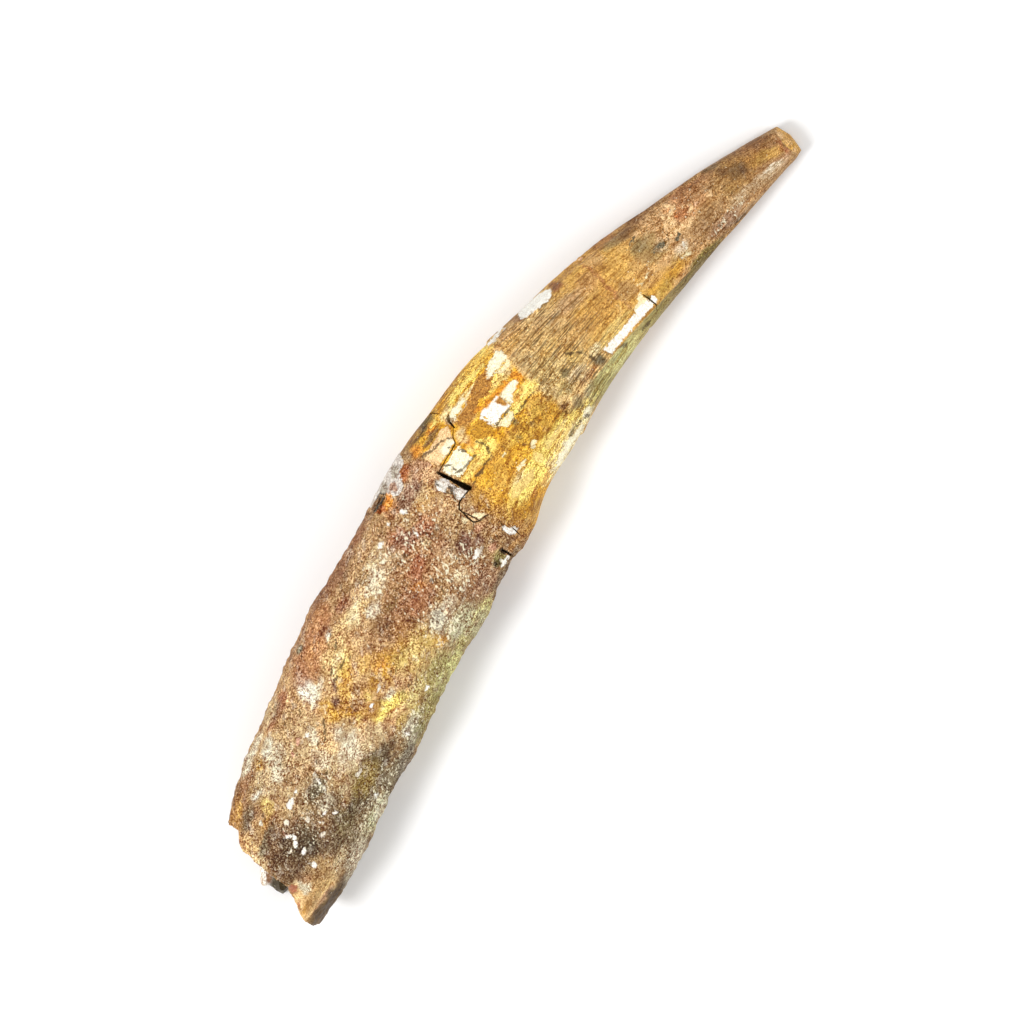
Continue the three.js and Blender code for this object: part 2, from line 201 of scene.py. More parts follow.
# Soft stains, later ones over earlier ones: oval, colour, strength.
STAINS = [
    # the broken root end
    (7.8, 8.5, 1.9, 1.4, 30, "apricot", 0.8), (12.4, 11.3, 3.2, 1.1, "bronze", 0.8),
    (12.6, 10.9, 1.6, 0.3, 10, "honey", 0.7), (17.5, 11.3, 3, 0.9, "chestnut", 0.7),
    (11.6, 9.2, 2.6, 1, "peat", 0.6), (16.6, 9, 1.6, 0.8, "slate", 0.5),
    (15.8, 9.1, 0.9, 0.5, -25, "chalk", 0.95), (14.6, 10.4, 1.4, 0.5, "chestnut", 0.5),
    (14.9, 7.1, 1, 0.7, 30, "straw", 0.95), (6.9, 6.2, 1.8, 0.9, 50, "peach", 0.7),
    (10.2, 7.4, 2.4, 1, "fawn", 0.7), (9.5, 5, 3.4, 0.9, -4, "slate", 0.7), (12, 6.2, 2, 0.5, "ochre", 0.4),
    (9, 1.6, 6, 3.4, "cocoa", 0.6), (10.4, 3, 2.6, 1, "umber", 0.5), (7.5, 2, 3, 1.5, 20, "cocoa", 0.6),
    (10.6, 0, 3.4, 2.6, "umber", 0.5), (12.4, -1.6, 2.2, 1.5, "umber", 0.7),
    (6, -0.4, 2.2, 1.3, "cocoa", 0.6), (12, -4.5, 4, 1.6, -10, "peat", 0.6),
    (6.2, -2.6, 2, 1.4, "rose", 0.35), (4.2, -3, 1, 1.7, 15, "bone", 0.85),
    (2.4, -2.7, 2.6, 0.9, 33, "peach", 0.9), (3.4, -1.4, 0.75, 0.5, 30, "brick", 0.95),
    (1, -3.1, 0.8, 0.22, 20, "brick", 0.7), (3.6, -5.6, 5.6, 1.2, -17, "peach", 0.85),
    (5.4, -6.3, 2.2, 0.9, -15, "buff", 0.8), (1.8, -4.5, 2.8, 0.25, -12, "honey", 0.9),
    (3.4, -6.6, 3, 0.35, -17, "rose", 0.5), (3.4, -7.6, 6.4, 0.85, -18, "umber", 0.55),
    (8.4, -5, 2, 1.4, "tan", 0.6), (8.6, -7.4, 1.8, 0.9, -10, "sand", 0.6),
    (14, -8.6, 5.5, 2.4, -4, "slate", 0.4), (12.5, -7.6, 3.5, 1.6, -4, "peat", 0.3),
    (17.6, -6, 3, 1.5, "olive", 0.6), (16, -2.6, 3.6, 2, "cocoa", 0.5), (17.4, 3, 3, 1.8, "sand", 0.5),
    (15.5, 5, 2.2, 1, "chestnut", 0.4), (17.5, 7, 2.4, 1.2, "sand", 0.5), (19, 9.2, 1.6, 1.2, "sand", 0.6),
    (19.7, 0.3, 1.8, 1.2, "umber", 0.9), (21, 3.6, 2, 1, "chestnut", 0.4),
    (20.5, 5.7, 2, 0.7, "chestnut", 0.4),
    # the lower half of the root
    (25, -7.2, 8, 2.4, -4, "peat", 0.75), (20, -4.6, 4, 1.6, "peat", 0.5), (21.5, -7, 3, 1.4, "umber", 0.3),
    (31, -9.6, 5.5, 1.3, -3, "umber", 0.3), (19.5, -5, 1.5, 0.8, "bronze", 0.5),
    (19.6, -10.3, 4.4, 1, -7, "lichen", 0.9), (28, -11.2, 5.5, 1.2, -4, "slate", 0.6),
    (31, -11.6, 4, 0.6, -3, "ash", 0.6), (36.5, -10.9, 3, 1.3, -6, "ash", 0.7),
    (31.4, -5.4, 2.6, 1.2, "sand", 0.5),
    # the middle of the root
    (24.5, 6.2, 6, 3, "sand", 0.45), (22.3, 8.3, 3, 1.2, "sand", 0.5), (26, 8, 3, 1, "fawn", 0.5),
    (20.5, 10.2, 0.9, 0.6, "honey", 1), (23.4, 10, 1.8, 0.8, 12, "bone", 0.85),
    (23.5, 12, 2, 0.5, "bone", 0.5), (29.5, 10.9, 3.6, 0.9, -3, "brick", 0.75),
    (29.4, 10.9, 1.8, 0.7, "cocoa", 0.5), (32, 9.9, 1.4, 0.3, 14, "peach", 0.95),
    (34.2, 7.3, 2.7, 1.3, 60, "chalk", 0.75), (34.4, 5.8, 2.6, 0.45, 6, "bone", 0.8),
    (34.8, 8.4, 1, 0.7, 40, "chalk", 0.7), (38.6, 9.4, 4, 2.2, "brick", 0.6),
    (44.4, 10, 3.4, 1.7, "brick", 0.6), (36.8, 7.5, 1, 1.4, 60, "plum", 0.5),
    (40, 8.6, 1.6, 0.7, 20, "plum", 0.5), (39.7, 11.3, 0.9, 0.45, "slate", 0.95),
    (43.6, 8, 0.9, 0.4, 20, "chalk", 0.7), (42, 5.7, 4.8, 1.7, 10, "buff", 0.7),
    (40.4, 4.7, 2.4, 0.7, 10, "cream", 0.6), (33.2, 0.8, 2, 3.2, 10, "gold", 0.7),
    (38.2, 2.4, 3, 1.3, 22, "honey", 0.8), (39.7, 3.2, 1.1, 0.5, 22, "ochre", 0.8),
    (36, 1, 1.4, 0.8, "honey", 0.7), (43.2, -2.6, 2.4, 2, -20, "gold", 0.7),
    (42.6, -1.8, 1.4, 0.8, -20, "amber", 0.4), (42, 0.4, 1.8, 1.5, "honey", 0.6),
    (43, -4, 1.6, 0.8, "bronze", 0.5), (34.3, 2.3, 1, 0.75, 20, "plum", 1),
    (36.6, 3.4, 0.9, 0.35, 30, "plum", 0.9), (35.2, -0.9, 1.3, 0.7, "chestnut", 0.85),
    (32.3, -0.6, 0.6, 1.1, 20, "bronze", 0.8), (33.2, -1.9, 0.8, 0.45, "straw", 0.95),
    (37.4, -2.2, 0.8, 0.5, "straw", 0.95), (36.6, -3.9, 1.3, 0.5, -10, "umber", 1),
    (34.4, -3.3, 1.3, 0.25, -18, "brick", 0.85), (37, -5.7, 3, 1.3, -18, "lemon", 0.75),
    (39, -5, 1.1, 0.7, -20, "bone", 0.8), (37, -6.8, 1.8, 0.16, -32, "rust", 0.9),
    (33.6, -7, 2, 1, -10, "apricot", 0.6), (37.8, -7.7, 2.2, 0.3, -18, "peach", 0.8),
    (40, -7.1, 0.6, 0.45, "slate", 0.9), (27.3, 0.2, 2.1, 1.4, "peach", 0.6),
    (30.4, -0.8, 1.6, 1.9, -20, "bone", 0.65), (28, -2.8, 3, 2.2, 10, "bone", 0.55),
    (24.5, -1, 2, 1.5, "sand", 0.5), (28, 4, 1.4, 0.9, 40, "bone", 0.6), (44, -10.5, 6, 2.2, "moss", 0.7),
    (39, -12.3, 4, 0.9, -2, "moss", 0.7), (41, -9, 2, 1, "lichen", 0.5),
    (45.6, 2, 1.6, 2.2, 20, "chestnut", 0.35),
    # the root towards the neck
    (53, 11.3, 10, 1.2, -2, "chestnut", 0.75), (57, 11.3, 3, 0.7, "cocoa", 0.5),
    (48.7, 8, 1.3, 0.8, -20, "cocoa", 0.85), (53.5, 9.8, 0.8, 0.45, "cocoa", 0.7),
    (58, 9, 6, 0.9, "fawn", 0.6), (48.5, 6, 4.8, 1.6, "buff", 0.6), (50.5, 6.5, 2, 0.8, "cream", 0.6),
    (50.5, 3, 1.6, 0.9, "bone", 0.6), (54.5, 5, 2, 1.6, "bone", 0.6), (58.4, 6.9, 3, 0.9, "cream", 0.55),
    (57.5, 4.2, 2.4, 1, "sand", 0.5), (51.5, -1, 5, 2.5, "chestnut", 0.65),
    (48.7, 0.6, 1.5, 1.4, "cocoa", 0.5), (53.5, 1, 2.6, 1, "olive", 0.5),
    (56.8, -1.7, 1.1, 1.2, "amber", 0.7), (54.6, -3.4, 2.6, 1.3, "brick", 0.6),
    (62.4, 4.6, 1.9, 2.3, -20, "brick", 0.85), (60.3, 0.2, 1.5, 1.1, "brick", 0.85),
    (66, 2.3, 2.1, 1.4, 20, "brick", 0.75), (64, 0.9, 0.9, 0.6, 30, "cream", 0.75),
    (64, -2.6, 2.6, 1.5, "sand", 0.5), (47.4, -5.6, 3.8, 2.6, "straw", 0.75),
    (48.4, -3.3, 2.6, 0.9, "gold", 0.5), (50.6, -7.8, 1.3, 1.8, 30, "gold", 0.6),
    (53.8, -7.2, 2.2, 1.4, 20, "ash", 0.85), (55.4, -10.8, 4.4, 1.9, "lichen", 0.85),
    (62.4, -8.4, 4.4, 3.2, "chestnut", 0.6), (63.5, -11, 3, 1.6, "mauve", 0.4),
    (62, -6.6, 0.9, 0.6, "ivory", 0.9), (55.7, -7.6, 0.6, 0.45, "peach", 1),
    (67, -5, 2.1, 1.6, 30, "plum", 0.85), (68.5, -6.8, 1.2, 0.8, "plum", 0.7),
    (69, 2.6, 2.2, 2.4, "fawn", 0.6), (69.4, 7, 3.2, 1.4, "mauve", 0.75), (71, 6.3, 1.1, 0.5, "plum", 0.95),
    (73.6, 6.8, 1.6, 2.4, "rose", 0.5), (71.9, 9.6, 1.4, 0.9, 20, "rust", 0.9),
    (68.9, -9.2, 0.9, 0.6, "rose", 0.9), (70.5, -5.6, 1, 0.6, "rose", 0.85),
    (74.5, -6.4, 0.8, 0.45, "rose", 0.8), (73.4, -8.6, 3, 2.6, "tan", 0.6), (72, -12.4, 4, 1, "bronze", 0.6),
    (74.6, -10.8, 2.2, 1.4, "bronze", 0.6),
    # the pockets' floors; the umber in the lower hole is painted shade
    (66.5, 9.5, 1, 0.7, "amber", 1), (64.9, 9.9, 0.7, 0.5, "rust", 0.9), (67.9, -10.8, 1.5, 0.8, "moss", 1),
    (66.8, -11, 0.7, 0.6, "umber", 0.8),
    # the bare dentine
    (79, 11.2, 3.6, 0.9, "umber", 0.75), (78.8, 9, 2.2, 0.5, "cocoa", 0.85),
    (76, 9.7, 1.2, 0.9, "amber", 0.9), (80.3, 9.9, 1.4, 0.6, "amber", 0.85),
    (89.5, 9.7, 7, 0.8, -4, "gold", 0.9), (90, 9.3, 3, 0.25, -4, "straw", 0.9),
    (86, 10.2, 2.2, 0.22, -4, "straw", 0.7), (89, 11, 7, 0.5, -5, "bronze", 0.8),
    (82.1, 5.3, 0.8, 0.6, "cream", 0.6), (84.5, 5.9, 1.9, 0.9, "mauve", 0.4),
    (81.3, 2.8, 1, 1.8, "amber", 0.6), (80.6, 2.4, 0.5, 0.8, "straw", 0.9),
    (82.2, 1.4, 0.7, 1.2, "straw", 0.7), (92.6, 5.6, 2.6, 0.5, 12, "straw", 0.9),
    (79, 0.3, 3, 0.8, -4, "straw", 0.65), (92.8, 0.9, 2.6, 0.8, "straw", 0.85),
    (91.8, 1.1, 1.8, 0.25, 6, "amber", 0.7), (86.3, -3.1, 0.65, 0.35, "peat", 0.9),
    (89.5, -3.5, 0.5, 0.6, "olive", 0.8), (88.2, -1.1, 0.45, 0.5, "olive", 0.8),
    (84, -1.8, 5, 1, "bronze", 0.4), (92.5, -2.5, 2.6, 2, "bronze", 0.5), (78.6, -4, 3, 1.8, "honey", 0.4),
    (84.2, -4.4, 2, 0.8, "honey", 0.5), (81, -7.4, 3.4, 1.5, -4, "straw", 0.8),
    (81.4, -7.2, 2, 0.9, -4, "cream", 0.7), (82.6, -8.6, 2, 0.4, -4, "cream", 0.6),
    (73.4, -4.2, 2, 1.6, "chestnut", 0.5), (72, -8, 2.2, 1.4, "cocoa", 0.4),
    (70.6, -11, 2, 0.7, "cocoa", 0.5), (69.8, 4.6, 2.4, 1, "honey", 0.4), (69.5, -1, 2, 1.4, "tan", 0.6),
    (91, -7.9, 5.6, 1.3, -2, "straw", 0.95), (90.5, -7.3, 3.5, 0.4, -2, "cream", 0.9),
    (92.5, -8.8, 3, 0.4, 2, "cream", 0.8), (88.2, 8, 2.4, 0.3, 3, "cream", 0.9),
    (86, 8.6, 2, 0.2, 2, "cream", 0.7), (84.6, -8.3, 1.8, 1, "straw", 0.9),
    (91, -10, 3.8, 0.5, 3, "chalk", 0.9), (97, -9.3, 1.3, 0.55, 3, "chalk", 0.9),
    (80.2, -10, 1.4, 0.6, "rust", 0.75), (90, -8.1, 2, 0.3, "honey", 0.6),
    (85, -10.6, 2.2, 0.4, "cream", 0.6), (94.8, -5.9, 1.5, 0.7, "cocoa", 0.75),
    (77, -9.8, 3, 1.6, "ochre", 0.7), (77.5, -12, 3, 0.6, "sand", 0.5), (87, -11.6, 6, 0.5, 3, "ochre", 0.5),
    # the enamel near its edge
    (98, 7.6, 3, 1.6, "apricot", 0.35), (102.2, 9, 1, 1, "chestnut", 0.6),
    (99.7, -2.6, 0.9, 0.8, "slate", 0.8), (97.3, -7.2, 1.1, 1.2, 30, "slate", 0.6),
    (100.6, -4, 1.9, 0.6, "bone", 0.5), (98.4, -4.4, 1.2, 1, "slate", 0.4),
    (101.8, -5.7, 2.5, 0.55, "rust", 0.6), (105.2, -5.5, 1.1, 0.9, -25, "slate", 1),
    (105.7, -4, 0.9, 0.4, "cream", 0.8), (98, 0, 3, 2.6, "olive", 0.3), (103.5, 1, 2, 2.4, "bronze", 0.4),
    (108, 4.4, 3.4, 1.1, "sand", 0.5), (98.6, 3, 3, 1, "sand", 0.3), (109.8, 7.8, 1, 0.9, "chestnut", 0.8),
    (103, 5.8, 1.6, 1, "chestnut", 0.4),
    # the middle of the crown
    (110.5, 0.2, 6, 2.6, "bronze", 0.4), (113.6, 4.6, 2.4, 1.5, "brick", 0.25),
    (108.5, -3, 4, 1.2, "honey", 0.6), (113.5, -3.6, 2, 1, "honey", 0.5), (117, 6, 1.6, 1.4, "fawn", 0.5),
    (122.4, -4, 4.4, 1.3, "gold", 0.5), (121.8, 6, 2.6, 0.9, -10, "slate", 0.5),
    (125, 5.8, 3.4, 1.2, -6, "cocoa", 0.5), (124.2, 1, 2.4, 2.4, "olive", 0.45),
    (123.5, 2.6, 1.4, 1.2, "slate", 0.3), (125.4, 0.1, 0.8, 0.4, 10, "umber", 0.5),
    (124.4, 4.3, 0.7, 0.4, "peach", 0.9), (128.2, -2.6, 1.5, 0.9, "bone", 0.4),
    (128.2, -3.7, 0.9, 0.4, "cream", 0.6), (126, -4.6, 3, 0.8, "gold", 0.4),
    # the worn patch and the tip
    (132, 2.2, 3.2, 2.2, "apricot", 0.6), (130, 2.2, 0.8, 1, "peach", 0.9),
    (132, 3.9, 1.5, 0.4, -15, "peach", 0.8), (132.7, 0.7, 1.3, 0.35, 30, "peach", 0.9),
    (130.4, -0.2, 1, 0.4, "peach", 0.9), (133.6, 2.4, 1, 0.4, -30, "peach", 0.7),
    (135.1, 1.3, 0.4, 0.3, "chalk", 1), (137, 1.4, 1.1, 0.35, 10, "peach", 0.7),
    (131, 1.9, 0.5, 0.4, "rust", 0.7), (135, 4, 4.6, 1.3, -5, "brick", 0.35),
    (136, -2.4, 4, 1.6, "cocoa", 0.25), (137.6, -4.2, 3, 0.8, "slate", 0.4),
    (137.6, 0.5, 1.6, 1, "bronze", 0.4), (128.6, 6.4, 4, 0.7, -6, "cocoa", 0.6),
    (143, 1.2, 4, 2.6, "khaki", 0.35), (141.8, 2.6, 1.2, 0.6, -20, "peat", 0.5),
    (144.5, 0.8, 0.5, 0.8, "peat", 0.6), (141, 4.4, 1.6, 0.5, -8, "peat", 0.5),
    # the pale sand streak near the tip's lower side, on the next line, is a painted sheen
    (147.6, 1, 2.4, 1.1, "ochre", 0.35), (145.6, -2.2, 6, 0.6, 2, "sand", 0.55),
    (150.6, -1.9, 1.8, 0.7, 5, "rose", 0.5), (144, -3.7, 2.4, 0.5, 4, "rust", 0.5),
    (140.6, -4.9, 2.6, 0.35, 6, "umber", 0.8), (149, 3, 3.4, 0.5, -8, "cocoa", 0.4),
    (152.2, 0.2, 0.5, 1.9, "brick", 0.6),
    # smaller touches over these, from the root end to the tip
    (7.3, -1.8, 1.8, 1.3, "cocoa", 0.5), (12.7, 4, 1.8, 1, "cocoa", 0.5),
    (11, -9.8, 2.4, 0.8, -8, "bone", 0.35), (18.7, -2.2, 1.7, 1, "bone", 0.5),
    (20.3, 12.3, 2.2, 0.8, "bone", 0.7), (27.7, 8.5, 3, 1.5, "tan", 0.5),
    (31.5, -6.2, 3, 1.3, -20, "sand", 0.7), (34.3, 1.1, 1.2, 1, "bronze", 0.6),
    (35.6, -2.9, 1.5, 0.9, "bronze", 0.6), (39.3, 12.3, 3, 0.8, "chestnut", 0.5),
    (39.7, -2, 1.7, 1, "ochre", 0.5), (41, -9.4, 3, 1.2, "straw", 0.4), (45.5, 4, 1.7, 1.7, "peach", 0.6),
    (47.4, -12.4, 5, 1.2, "pistachio", 0.75), (47.7, 5.3, 1.7, 1.2, "cream", 0.6),
    (49.3, 7.8, 1.8, 1.2, "brick", 0.6), (49.2, -2.8, 2, 1.6, "bronze", 0.65),
    (49.4, -7.3, 2, 1.6, "straw", 0.4), (54, -4.2, 2.6, 1.3, "chestnut", 0.5),
    (58, -13, 3.6, 1, "pistachio", 0.6), (58.3, 11.4, 3, 0.8, "brick", 0.4),
    # the cocoa oval on the next line, at the upper slit, is painted shade
    (62.9, 3.8, 1.9, 2, -20, "brick", 0.7), (65.3, 10.8, 1.5, 0.5, "cocoa", 0.7),
    (71.5, 0.4, 1.5, 1.1, "peach", 0.5), (73.2, 6, 1.4, 1.4, "peach", 0.4),
    (74.9, -5.4, 1.6, 4.4, "ochre", 0.6), (75.9, -12.4, 2, 0.8, "ochre", 0.5),
    (80.2, -8.8, 2.2, 0.8, -4, "lemon", 0.8), (82.7, 0.6, 1.4, 1.6, "lemon", 0.7),
    (83.2, 9.1, 1.4, 0.7, "cream", 0.6), (84.1, -8, 2, 1.3, "lemon", 0.9), (87.2, -7.7, 1.6, 1, "lemon", 0.7),
    (90, -10.4, 6, 0.9, 3, "ivory", 0.85), (90.5, 0.2, 2, 0.7, "lemon", 0.8),
    (90.4, -6.2, 2.4, 0.6, "ochre", 0.6), (93.6, 10.6, 2.4, 0.7, -6, "lemon", 0.8),
    (93.7, 5, 1, 0.7, "cream", 0.6), (94.6, 0.3, 0.8, 1.2, "lemon", 0.8), (95, -8.2, 1.6, 1, "lemon", 0.6),
    (96.8, -9.6, 2, 0.8, "ivory", 0.9), (98, 7.4, 2.6, 1, "honey", 0.5), (101, 2.3, 2.4, 1, "honey", 0.4),
    (110.5, -4, 4.5, 0.9, "straw", 0.6), (112.4, 8.2, 2.4, 0.7, "bronze", 0.4),
    (129.3, 0.9, 1.3, 1.5, "peach", 0.6), (136, 1.6, 1.7, 1.1, "apricot", 0.6),
    (141.7, -4.4, 2.6, 0.6, 6, "fawn", 0.6),
    # broader touches over these
    (9.4, 0, 5.6, 3.4, "umber", 0.3), (19, -0.5, 4, 3, "peat", 0.28), (7.4, 7.9, 1.9, 1.8, 60, "buff", 0.55),
    (99.4, -9, 2.4, 0.9, 3, "moss", 0.6), (118.5, -4.7, 0.35, 1.1, "olive", 0.9), (20, 5, 5, 4, "tan", 0.2),
    (16, -6, 5, 2, "peat", 0.3), (89, -3.8, 6, 2.4, "khaki", 0.4), (146, 1.2, 6, 3, "chestnut", 0.35),
    # the bone streak near the tip's lower side, on the next line, is a painted sheen
    (122, -2.4, 4, 1.2, "fawn", 0.35), (145.6, -2.5, 5, 0.8, 2, "bone", 0.3),
    (136, 3, 4, 1.6, "chestnut", 0.2), (27, -12.4, 8, 1, -3, "peat", 0.5), (50, -13.4, 10, 1, "moss", 0.5),
    (67, -13, 5, 0.9, "peat", 0.5), (60, 12, 8, 0.8, "chestnut", 0.5),
    (3.7, -8.5, 6.4, 1.15, -20, "umber", 0.62), (115.3, 2.6, 0.3, 6, "brick", 0.5),
    # a second round of touches, from the root end to the tip
    (2.4, -5.2, 1.6, 0.9, -15, "tan", 0.45), (5.5, 5, 1, 0.9, "sand", 0.6),
    (6.5, -5.7, 1.6, 1, -15, "tan", 0.45), (6.7, 0.8, 1.8, 1.2, "cocoa", 0.4),
    (9.8, 10.3, 1.3, 1, "bronze", 0.5), (10, 7, 1.2, 0.9, "tan", 0.5), (10.4, -7.2, 2.2, 1, -8, "sand", 0.5),
    (10.3, 2, 2.4, 1.6, "chestnut", 0.4), (14.8, 6.6, 1.3, 0.9, 20, "straw", 0.6),
    (20.2, 7, 1.6, 1, "bone", 0.5), (23, 8.1, 2, 1, "bone", 0.45), (24.7, 1.2, 1.6, 1.8, "bone", 0.4),
    (20.5, 0.5, 1.2, 1, "peat", 0.4), (22, -4.5, 1.8, 1, "sand", 0.5), (21.8, -8.8, 2, 0.9, -4, "peat", 0.45),
    (25.4, -8.8, 2.6, 0.9, -4, "peat", 0.35), (28.9, 11.8, 2.4, 0.8, "sand", 0.6),
    (29.6, -11.8, 3.2, 0.8, -3, "peat", 0.45), (33.2, -11.4, 2, 0.8, -3, "peat", 0.3),
    (35.4, -12, 2.4, 0.8, -3, "moss", 0.55), (31.5, -0.8, 1.4, 1.2, "tan", 0.45),
    (35.5, -3.5, 1.6, 0.9, -20, "ochre", 0.4), (37, -0.8, 1.8, 1.3, "ochre", 0.35),
    (37.7, 7.7, 1.4, 1, "apricot", 0.4), (39.6, -3.9, 2, 0.9, -10, "bronze", 0.45),
    (39.3, -7.3, 1.5, 0.8, -20, "lemon", 0.55), (39.5, 3, 2.2, 1, 20, "gold", 0.35),
    (40.5, 8.9, 2.2, 1.3, "apricot", 0.6), (40.5, 3.8, 2.4, 1, 10, "straw", 0.5),
    (45.2, 10.5, 2.4, 1.2, "apricot", 0.4), (45.4, -4.1, 1.7, 1, "khaki", 0.45),
    (49, -12.1, 4.2, 1.3, "moss", 0.65), (53, 2, 1.5, 1, "fawn", 0.4), (56.5, -7.5, 1.8, 1, "bone", 0.45),
    (58.7, -0.5, 1.3, 1, "chestnut", 0.4), (59.7, 4.3, 1.5, 1.3, "sand", 0.65),
    (62, -7, 1.6, 1.2, "sand", 0.45), (65.8, 8.3, 1.7, 1.1, "apricot", 0.6), (70, 5.2, 1.6, 1, "sand", 0.4),
    (71.8, -5.2, 1.4, 1, "fawn", 0.4), (77.7, 11.5, 1.7, 0.7, "bronze", 0.5),
    (80.7, -0.3, 1.4, 0.6, "lemon", 0.7), (81.4, 4.6, 0.9, 1.1, "buff", 0.8),
    (82.7, 7.8, 0.7, 0.8, "bone", 0.6), (83.9, -9.2, 2, 0.8, "lemon", 0.6),
    (88.8, 10.7, 3, 0.8, -5, "ochre", 0.6), (89.2, -4.4, 1.8, 1, "ochre", 0.55),
    (91.6, -10.3, 4, 0.9, 3, "ivory", 1), (91.4, -6.7, 3, 0.6, "khaki", 0.7),
    (92.4, 10.7, 1.8, 0.6, -6, "gold", 0.6), (95.5, -2.7, 0.9, 1.4, "moss", 0.5),
    (97.3, -9.7, 1.6, 0.6, 3, "ivory", 0.9), (97.4, -3.8, 1.6, 1.4, "moss", 0.3),
    (97.3, 3.3, 2, 1.6, "tan", 0.35), (98.8, -9.5, 1, 0.6, "moss", 0.35),
    (99.8, 9.8, 1.6, 0.7, "bronze", 0.4), (100.7, 4.9, 2, 1.2, "bronze", 0.4),
    (102.8, -1.8, 1.6, 1.4, "khaki", 0.4), (106.2, -3.7, 1.2, 0.7, "cream", 0.6),
    (109.8, 2.2, 1.8, 1.3, "honey", 0.7), (116.9, -1.2, 1.6, 1.4, "tan", 0.5),
    (117.2, 7.8, 1.6, 0.7, "bronze", 0.4), (120.3, 7.5, 2.2, 0.8, -6, "chestnut", 0.6),
    (126.3, 0.2, 1.3, 0.9, "sand", 0.6), (128.7, -4, 1.5, 0.8, "tan", 0.5), (144, -3, 3, 0.9, 3, "tan", 0.45),
    (144.7, 4, 2, 0.6, -6, "cocoa", 0.3), (149.5, 3.2, 2, 0.6, -8, "cocoa", 0.4),
    # a third round of touches, from the root end to the tip
    (2.8, -5.1, 1.8, 1, -15, "tan", 0.6), (6.4, -5.8, 1.6, 1, -15, "tan", 0.6),
    (7.8, -3.2, 1.4, 1, "tan", 0.6), (8.8, -5.5, 1.6, 1, "tan", 0.5), (10.2, 7.3, 1.6, 1.2, "tan", 0.6),
    (10.2, 1.7, 1.6, 1.3, "umber", 0.5), (14.8, 4, 2, 1.1, "tan", 0.5), (16.6, 9.7, 2.2, 1, "tan", 0.4),
    (20.5, 0.3, 1.4, 1, "umber", 0.4), (20.5, -10.8, 2, 0.8, -6, "lichen", 0.7),
    (23.5, -2.8, 1.4, 1, "tan", 0.5), (25.5, -10, 2, 0.8, -4, "peat", 0.5), (25.7, -4, 1.4, 1, "sand", 0.6),
    (29.2, 4.8, 1.8, 1, "tan", 0.35), (32, -0.6, 1.5, 1.1, "tan", 0.6),
    (34.9, -11.7, 2.2, 0.9, -3, "slate", 0.4), (35.6, -3.9, 1.8, 1, -10, "bronze", 0.6),
    (35.8, -8.7, 1.6, 0.9, "khaki", 0.5), (40.2, -2.6, 1.7, 1.2, -10, "ochre", 0.5),
    (42.8, -12.3, 2.4, 0.8, "olive", 0.35), (44.3, -1.2, 1.6, 1, "bronze", 0.5),
    (49, -12.7, 2.2, 0.8, "pistachio", 0.5), (49.5, -2.8, 1.8, 1.4, "chestnut", 0.5),
    (50.5, -7, 1.6, 1.2, "khaki", 0.45), (51.5, 6.7, 1.4, 1, "fawn", 0.6), (54.3, 4.5, 1.2, 0.9, "sand", 0.5),
    (56.7, -13.2, 2.8, 0.8, "lichen", 0.6), (56.5, -3.4, 1.9, 1.2, "chestnut", 0.6),
    (56.8, 11.3, 2.2, 0.9, "chestnut", 0.7), (59, -0.2, 1.5, 1.2, "brick", 0.6),
    (59.7, -8.7, 1.8, 1.1, "cocoa", 0.4), (61.2, 5.7, 1.6, 1.2, "brick", 0.4),
    (62.7, -2.8, 1.4, 1, "tan", 0.6), (63, 4, 1.8, 1.4, -20, "plum", 0.6),
    (65.5, -1.5, 1.4, 1.1, "chestnut", 0.5), (66, 2.8, 1.5, 1.1, "brick", 0.5),
    (68.8, 9.8, 1.2, 0.6, "plaster", 0.7), (71.7, 11.6, 1.6, 0.9, "plaster", 0.9),
    (71.5, -3.2, 1, 0.7, "sand", 0.8), (72, -7.7, 1.8, 1.2, "bronze", 0.5),
    (78.2, -2.2, 1.8, 1.2, "mustard", 0.7), (80.2, -3.4, 1.6, 1, "ochre", 0.45),
    (84.3, -4.6, 1.8, 1.2, "mustard", 0.8), (78.7, -11.8, 2, 0.7, "ochre", 0.7),
    (86.6, 1.3, 0.9, 0.6, "cream", 0.7), (87.3, -9.3, 1.8, 0.7, "cream", 0.6),
    (90.5, 2.8, 0.9, 0.8, "cream", 0.6), (92.7, -5.5, 1.8, 0.9, "ochre", 0.7),
    (92.7, 4.7, 1, 0.6, "straw", 0.8), (93.8, -9.2, 1.6, 0.7, 3, "cream", 0.8),
    (95.7, -2.5, 1.2, 1.4, "sand", 0.5), (96.7, -9.7, 1.6, 0.8, 3, "ivory", 0.8),
    (100.7, -7.7, 1.6, 1, 3, "lichen", 0.6), (102.6, -8.8, 2.2, 1, 3, "pistachio", 0.6),
    (101.5, -4.8, 1.4, 0.9, "sand", 0.6), (109.4, 4.1, 2.4, 1.2, "fawn", 0.55),
    (115.3, -7.6, 1.6, 0.8, "lichen", 0.5), (116.5, 4.3, 1.6, 1, "bronze", 0.4),
    (121.6, -5.3, 2.6, 0.8, 3, "khaki", 0.5), (126.7, -3.2, 1.6, 0.9, "khaki", 0.3),
    (130.5, -5.9, 3.8, 0.7, 4, "olive", 0.8), (136.2, -3.7, 2, 0.8, "tan", 0.5),
    (143.8, 1.2, 1.8, 1.2, "umber", 0.4), (145, -3.8, 2.6, 0.6, 3, "tan", 0.5),
    (148.5, 0.5, 2, 1, "khaki", 0.3),
    # the last washes and touches
    (59, -0.5, 7, 4, "brick", 0.3), (60, 6, 5, 2, "brick", 0.15), (9, 0, 5, 3.4, "umber", 0.3),
    (49, -6, 4, 2.6, "tan", 0.2), (90, -4.6, 4.6, 1.8, "ochre", 0.3), (132.3, 1.5, 1.8, 1.2, "brick", 0.4),
    (137, -4, 4, 1.1, 3, "mauve", 0.45), (150.4, 0, 1.6, 0.8, "honey", 0.5),
